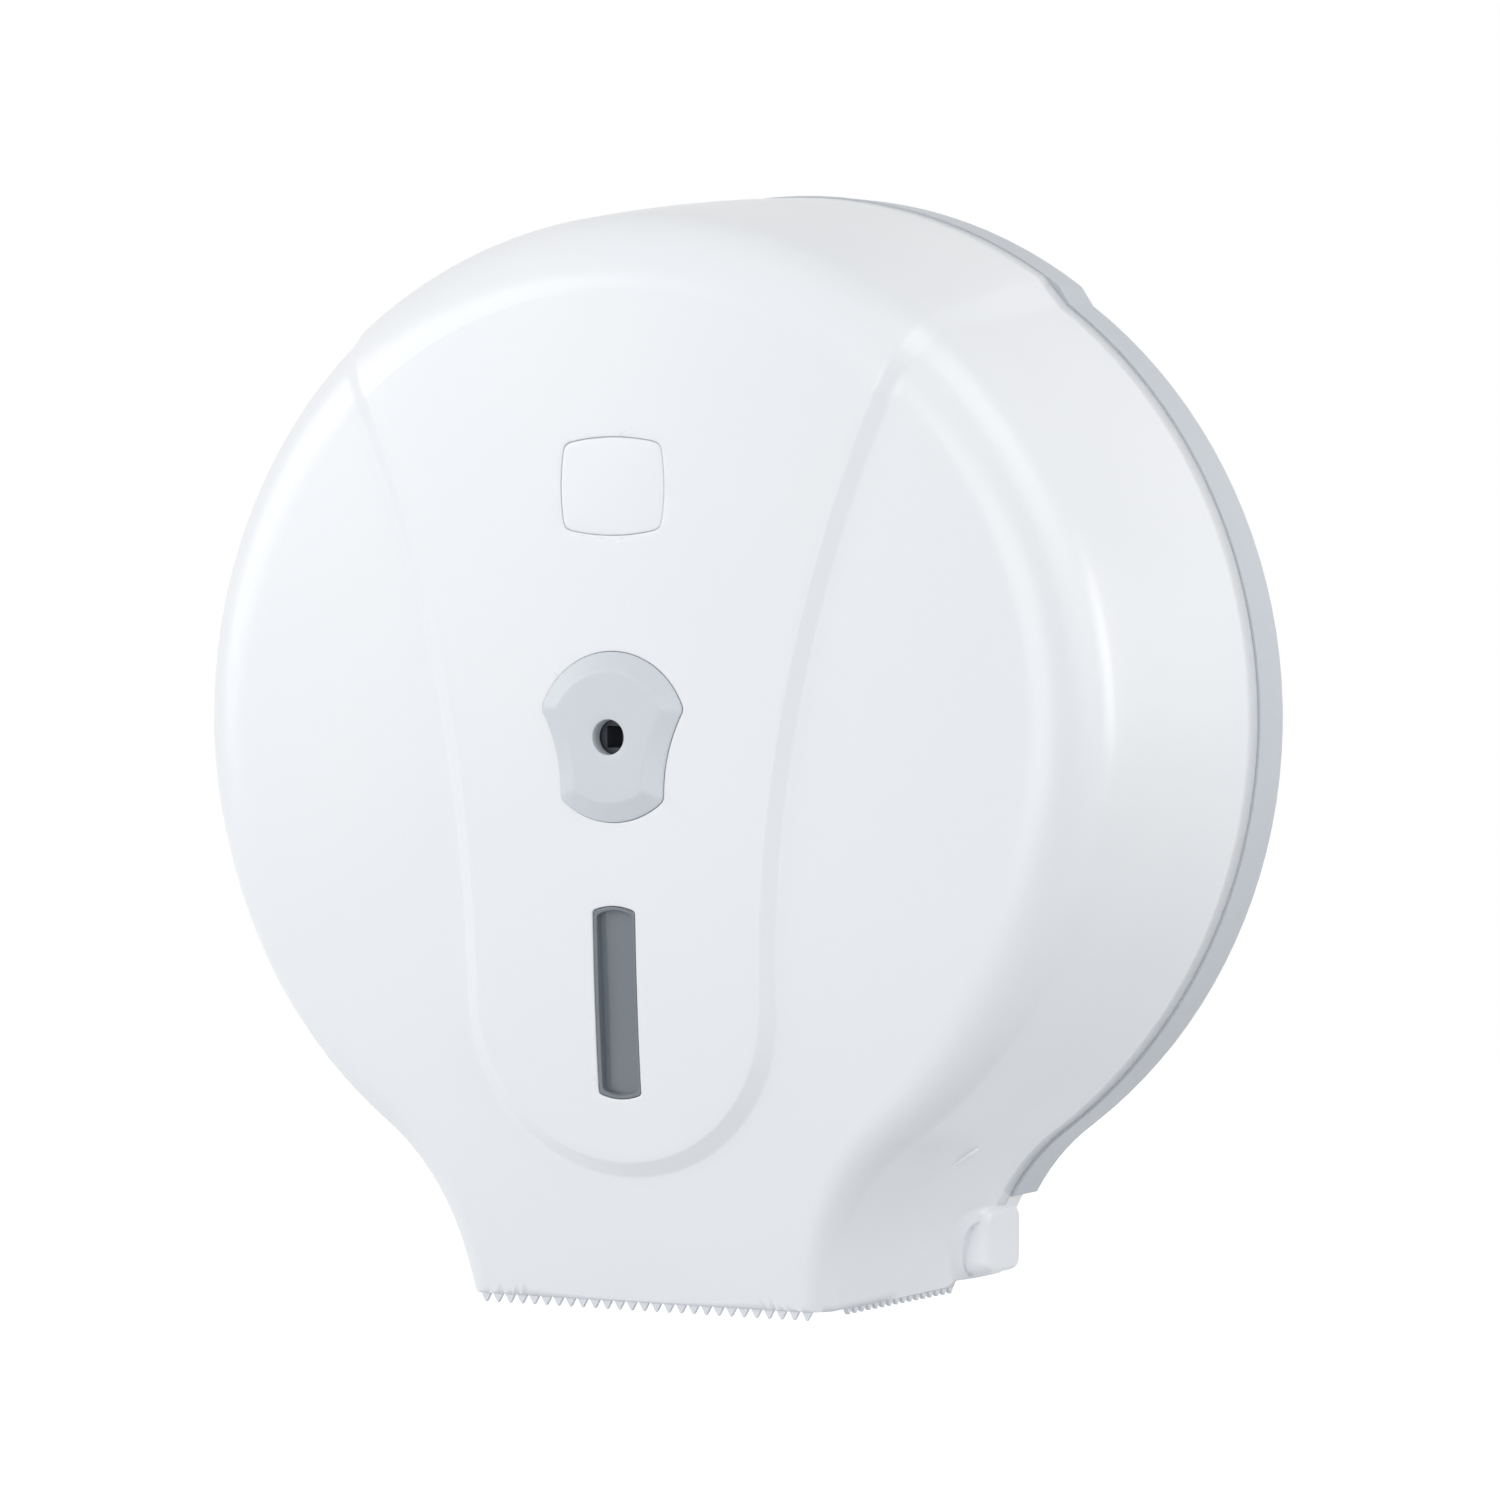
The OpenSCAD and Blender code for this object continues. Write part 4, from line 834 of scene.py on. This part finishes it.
# %% [markdown]
# ## Sight window
# A smoked tray is pushed into its slot from inside: a thin rim shows round the edge, its walls lead down to a pane
# 3.2 mm below the panel, and a flange behind the cover holds it on two pins.
# %% Window tray
PANE_DEPTH, PANE_T, TRAY_WALL, WINDOW_SEAT = 3.2, 1.2, 1.0, 5.1
FLANGE_W, FLANGE_H, FLANGE_T, FLANGE_BLEND = 3.0, 10.5, 1.4, 3
TRAY_RIM = [(TRAY_WALL, 0.55), (0.85, 0.35), (TRAY_WALL / 2, 0.28), (0.15, 0.35), (0.0, 0.55)]
window_top = face_depth(0, WINDOW_Z + WINDOW_H / 2)
window_low = face_depth(0, WINDOW_Z - WINDOW_H / 2)
WINDOW_LEAN = np.degrees(np.arctan((window_top - window_low) / WINDOW_H))
WINDOW_FRONT = front_depth(0, WINDOW_Z)


def leaning(line, depth):
    """An outline laid on a plane that leans with the window, depth behind the panel."""
    x, up = line[:, 0], line[:, 1]
    y, z = depth * cosd(WINDOW_LEAN) - up * sind(WINDOW_LEAN), depth * sind(WINDOW_LEAN) + up * cosd(WINDOW_LEAN)
    return np.stack([x, y - WINDOW_FRONT, z + WINDOW_Z], axis=1)


def flange_line(n=200):
    """Outline of the flange: a long rectangle with rounded corners, started at the same place as the window's."""
    w, h = WINDOW_W / 2 + FLANGE_W, WINDOW_H / 2 + FLANGE_H
    a = np.linspace(0, 2 * np.pi, 8 * n, endpoint=False) - np.arctan2(WINDOW_W, WINDOW_H)
    reach = np.minimum(w / np.maximum(np.abs(np.sin(a)), 1e-9), h / np.maximum(np.abs(np.cos(a)), 1e-9))
    return softened(even(np.stack([reach * np.sin(a), reach * np.cos(a)], axis=1), n), FLANGE_BLEND)


inner_line, outer_line, flange = window_line(-TRAY_WALL), window_line(0), flange_line()
tray_rings = [
    leaning(inner_line, PANE_DEPTH),
    *(sunk(window_line(-inwards), WINDOW_Z, down) for inwards, down in TRAY_RIM),
    leaning(outer_line, WINDOW_SEAT), leaning(flange, WINDOW_SEAT), leaning(flange, WINDOW_SEAT + FLANGE_T),
    leaning(inner_line, WINDOW_SEAT + FLANGE_T), leaning(inner_line, PANE_DEPTH + PANE_T),
]
lens = make_piece("window_tray", *stack(tray_rings))
crease(lens, angle=35)
print("window leans", round(float(WINDOW_LEAN), 2), "degrees")

# %% [markdown]
# ## Materials
# Colours are written as the eye names them, in sRGB hex, and one function turns them to the linear values that the
# shaders use. One more function adds a node with its settings and links; short ones built on it add noise, mix two
# colours and raise bumps.
# %% Colour and node helpers
def linear(hex_colour):
    """Linear red, green, blue and alpha from an sRGB hex colour."""
    c = np.array([int(hex_colour[i:i + 2], 16) for i in (1, 3, 5)]) / 255
    return (*np.where(c <= 0.04045, c / 12.92, ((c + 0.055) / 1.055) ** 2.4).tolist(), 1.0)


def add(tree, kind, inputs=None, **settings):
    """A new node of the tree; inputs are values or the sockets that feed them, settings are the node's own."""
    node = tree.nodes.new("ShaderNode" + kind)
    for key, value in settings.items():
        setattr(node, key, value)
    for key, value in (inputs or {}).items():
        if isinstance(value, bpy.types.NodeSocket):
            tree.links.new(value, node.inputs[key])
        else:
            node.inputs[key].default_value = value
    return node


def new_material(name):
    """A material and its node tree, which is still empty."""
    material = bpy.data.materials.new(name)
    material.use_nodes = True
    material.node_tree.nodes.clear()
    return material, material.node_tree


def finish_material(tree, shader):
    """Feeds the shader to the material's output."""
    add(tree, "OutputMaterial", {"Surface": shader.outputs[0]})


def object_place(tree):
    """The place of a point on its own object, in metres."""
    return add(tree, "TexCoord").outputs["Object"]


def noise(tree, place, size_mm, detail, **inputs):
    """Noise from 0 to 1 whose cells are about so many millimetres wide."""
    inputs.update({"Vector": place, "Scale": 1000.0 / size_mm, "Detail": detail})
    return add(tree, "TexNoise", inputs).outputs["Fac"]


def two_colours(tree, factor, light, dark):
    """The first colour where the factor is 0, the second where it is 1."""
    mix = add(tree, "Mix", {"Factor": factor, "A": linear(light), "B": linear(dark)}, data_type="RGBA")
    return mix.outputs["Result"]


def bumps(tree, height, strength, height_mm):
    """A normal that follows the height, which counts as so many millimetres."""
    return add(tree, "Bump", {"Height": height, "Strength": strength, "Distance": height_mm * MM}).outputs["Normal"]


print("white in linear:", [round(v, 3) for v in linear("#F2F3F5")[:3]])

# %% [markdown]
# **Moulded plastic** has a skin copied from a steel mould: even in colour, smooth or lightly sparked, and never quite
# flat. A very fine grain breaks up the highlight, and a broad, faint unevenness keeps large faces alive.
# %% Moulded plastics
BROAD_MM = 45.0


def moulded(name, light, dark, roughness, spread, grain_mm, grain, ior=1.53):
    """A moulded plastic: two near colours mixed by broad noise, roughness that varies by spread, and a grain of the
    given size in mm and height in mm."""
    material, tree = new_material(name)
    place = object_place(tree)
    broad = noise(tree, place, BROAD_MM, 0.0)
    fine = noise(tree, place, grain_mm, 2.0, Roughness=0.5)
    rough = add(tree, "MapRange", {
        "Value": broad, "To Min": roughness - spread, "To Max": roughness + spread,
    }, interpolation_type="SMOOTHSTEP")
    finish_material(tree, add(tree, "BsdfPrincipled", {
        "Base Color": two_colours(tree, broad, light, dark), "Roughness": rough.outputs["Result"], "IOR": ior,
        "Normal": bumps(tree, fine, 1.0, grain),
    }))
    return material


white_abs = moulded("moulded_gloss_abs_white", "#F3F4F6", "#EFF1F4", 0.31, 0.02, 0.9, 0.004)
# The teeth are the cover's own white ABS. Their darker colour is painted shade, standing in for the shade on their
# small bevelled faces that turn down.
teeth_painted_shade_abs = moulded("moulded_gloss_abs_teeth_painted_shade", "#E6E8EC", "#DFE2E7", 0.35, 0.04, 0.9, 0.004)
grey_abs = moulded("moulded_satin_abs_grey", "#C9CDD2", "#C2C7CD", 0.42, 0.05, 0.7, 0.008)
plate_abs = moulded("moulded_satin_abs_light_grey", "#D3D8DC", "#CDD2D7", 0.4, 0.04, 0.7, 0.006)
spindle_abs = moulded("moulded_satin_abs_spindle", "#E9EAEC", "#E2E4E7", 0.45, 0.05, 0.8, 0.008)
hub_pp = moulded("moulded_polypropylene_blue_grey", "#A9B4BE", "#9EABB7", 0.5, 0.05, 1.2, 0.012, 1.49)
nylon = moulded("moulded_nylon_natural", "#ECE8DC", "#E3DECF", 0.5, 0.05, 0.8, 0.006)
lock_nylon = moulded("moulded_filled_nylon_dark", "#3B3F45", "#30343A", 0.45, 0.05, 0.5, 0.01)
rubber = moulded("nitrile_rubber_black", "#17181A", "#101113", 0.55, 0.06, 0.6, 0.01, 1.52)
print("moulded plastics ready")

# %% [markdown]
# **Zinc-plated steel** is bright but soft, with a slightly blue skin and faint rolling marks along the strip.
# **Brass** is turned and plain. **Felt** is pressed wool: a rough mat of short hairs.
# %% Metals and felt
def rough_by(tree, factor, low, high):
    """Roughness between two values: the noise's middle range is spread over them."""
    inputs = {"Value": factor, "From Min": 0.3, "From Max": 0.7, "To Min": low, "To Max": high}
    return add(tree, "MapRange", inputs).outputs["Result"]


def plated(name, light, dark, roughness, line_mm):
    """A metal with fine drawn lines: noise stretched along X gives the lines, in the colour and the roughness."""
    material, tree = new_material(name)
    drawn = add(tree, "Mapping", {"Vector": object_place(tree), "Scale": (0.06, 1.0, 1.0)})
    lines = noise(tree, drawn.outputs["Vector"], line_mm, 3.0)
    finish_material(tree, add(tree, "BsdfPrincipled", {
        "Base Color": two_colours(tree, lines, light, dark), "Metallic": 1.0,
        "Roughness": rough_by(tree, lines, roughness - 0.06, roughness + 0.06),
        "Normal": bumps(tree, lines, 0.6, 0.006),
    }))
    return material


zinc = plated("zinc_plated_steel", "#C9CDD3", "#B4B9C1", 0.36, 0.5)
brass = plated("turned_brass", "#D9BC7A", "#C6A560", 0.35, 0.4)


def pressed_felt(name):
    """Pressed felt: two greys mixed by fine noise, a deep fibre bump, full roughness and some sheen."""
    material, tree = new_material(name)
    hair = noise(tree, object_place(tree), 0.5, 6.0, Roughness=0.7)
    finish_material(tree, add(tree, "BsdfPrincipled", {
        "Base Color": two_colours(tree, hair, "#3A3B3E", "#55575B"), "Roughness": 0.95, "Sheen Weight": 0.3,
        "Normal": bumps(tree, hair, 1.0, 0.15),
    }))
    return material


felt = pressed_felt("pressed_wool_felt")
print("metals and felt ready")

# %% [markdown]
# **Smoked SAN** is a clear, hard plastic with grey dye. It is a little matt inside, so what lies behind it shows only
# as light and shade.
# %% Smoked window
def smoked(name, tint, roughness):
    """A dyed clear plastic: partly transmitting, with a tinted body."""
    material, tree = new_material(name)
    cloud = noise(tree, object_place(tree), 20.0, 2.0)
    finish_material(tree, add(tree, "BsdfPrincipled", {
        "Base Color": linear(tint), "Roughness": rough_by(tree, cloud, roughness - 0.02, roughness + 0.03),
        "IOR": 1.57, "Transmission Weight": 0.35,
    }))
    return material


smoked_san = smoked("smoked_clear_san", "#8F979F", 0.16)

# %% [markdown]
# ## Dress the frame
# Every new piece rides on the body of the solid it stands for. The solids that stay get their material slots filled.
# %% Riding and replacing
for piece, material, slot_name, node in [
    (cover, white_abs, "cover_plastic", "front_cover"), (badge, white_abs, "cover_plastic", "badge_plate"),
    (lock_plate, plate_abs, "base_plastic", "lock_plate"), (lens, smoked_san, "smoked_clear", "window_lens"),
    (teeth, teeth_painted_shade_abs, "cover_plastic", None), (knuckles, white_abs, "cover_plastic", None),
]:
    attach(piece, "cover")
    if node:
        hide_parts(node)
    piece.data.materials.clear()
    piece.data.materials.append(material)

finishes = {
    "back_plate": grey_abs, "roll_spindle": spindle_abs, "spindle_screws": zinc, "brake_washer": felt,
    "core_hub": hub_pp, "hub_washer": nylon, "lock_catch": zinc, "catch_screws": zinc, "hinge_pins": zinc,
    "badge_clips": zinc, "window_clips": zinc, "lock_housing": lock_nylon, "housing_screws": zinc,
    "lock_barrel": lock_nylon, "lock_o_ring": rubber, "lock_circlip": zinc, "lock_cam": brass, "cam_screw": zinc,
}
for node, material in finishes.items():
    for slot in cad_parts[node].material_slots:
        slot.material = material
print("finished nodes:", len(finishes))

# %% [markdown]
# ## Floor, light and background
# The camera, and rays that mirror or pass through a surface, see a white background. The floor is white paint that
# keeps the shadow; for the same rays it glows a little less than white, and its own light makes up the rest.
# %% Floor
def seen_rays(tree):
    """1 for rays of the camera and for mirrored or transmitted rays, 0 for the rest."""
    path = add(tree, "LightPath").outputs
    direct = add(tree, "Math", {0: path["Is Camera Ray"], 1: path["Is Glossy Ray"]}, operation="MAXIMUM")
    return add(tree, "Math", {0: direct.outputs[0], 1: path["Is Transmission Ray"]}, operation="MAXIMUM").outputs[0]


FLOOR_HALF, FLOOR_Z, FLOOR_GLOW = 6.0, -0.6, 0.95
WHITE = (1.0, 1.0, 1.0, 1.0)
corners = [(x * FLOOR_HALF, y * FLOOR_HALF, FLOOR_Z) for x, y in ((-1, -1), (1, -1), (1, 1), (-1, 1))]
floor_mesh = bpy.data.meshes.new("floor")
floor_mesh.from_pydata(corners, [], [[0, 1, 2, 3]])
floor = bpy.data.objects.new("floor", floor_mesh)
bpy.context.collection.objects.link(floor)
floor_material, floor_tree = new_material("painted_floor_white")
lift = add(floor_tree, "Math", {0: seen_rays(floor_tree), 1: FLOOR_GLOW}, operation="MULTIPLY").outputs[0]
paint = add(floor_tree, "BsdfDiffuse", {"Color": linear("#C9CBCE")})
glow = add(floor_tree, "Emission", {"Color": WHITE, "Strength": lift})
finish_material(floor_tree, add(floor_tree, "AddShader", {0: paint.outputs[0], 1: glow.outputs[0]}))
floor_mesh.materials.append(floor_material)

# %% [markdown]
# Soft square lamps light the white plastic: a broad one in front, two on the left, two on the right, and a small near
# one that picks out the right side wall. The world adds a dim, even grey that fills the shadows.
# %% Lights and world
def softbox(name, place, size, power, aim=(0, -0.06, 0)):
    """A square area lamp at place, in metres, that faces the aim point. The camera doesn't see it."""
    lamp = bpy.data.lights.new(name, "AREA")
    lamp.shape, lamp.size, lamp.energy = "SQUARE", size, power
    holder = bpy.data.objects.new(name, lamp)
    holder.location = place
    holder.rotation_euler = (Vector(place) - Vector(aim)).to_track_quat("Z", "Y").to_euler()
    holder.visible_camera = False
    bpy.context.collection.objects.link(holder)


for name, place, size, power in [
    ("key_front", (0.5, -2.3, 0.2), 1.4, 15.8), ("key_left", (-0.7, -0.9, 0.3), 0.5, 2.7),
    ("side_left", (-1.6, -0.8, 0.4), 1.0, 7.4), ("side_right", (1.8, -0.3, 0.5), 1.2, 5.0),
    ("top_right", (1.2, -0.3, 1.5), 1.2, 10.0), ("rim_right", (0.6, 0.3, 0.1), 0.3, 0.9),
]:
    softbox(name, place, size, power)

SHADE_FILL, SEEN_WHITE = 0.36, 1.0
world = bpy.data.worlds.new("studio")
world.use_nodes = True
bpy.context.scene.world = world
sky = world.node_tree
sky.nodes.clear()
plain = add(sky, "Background", {"Color": linear("#EEF1F4"), "Strength": SHADE_FILL})
white = add(sky, "Background", {"Color": WHITE, "Strength": SEEN_WHITE})
mixed = add(sky, "MixShader", {0: seen_rays(sky), 1: plain.outputs[0], 2: white.outputs[0]})
add(sky, "OutputWorld", {"Surface": mixed.outputs[0]})
bpy.context.scene.view_settings.view_transform = "Standard"
print("lights ready")
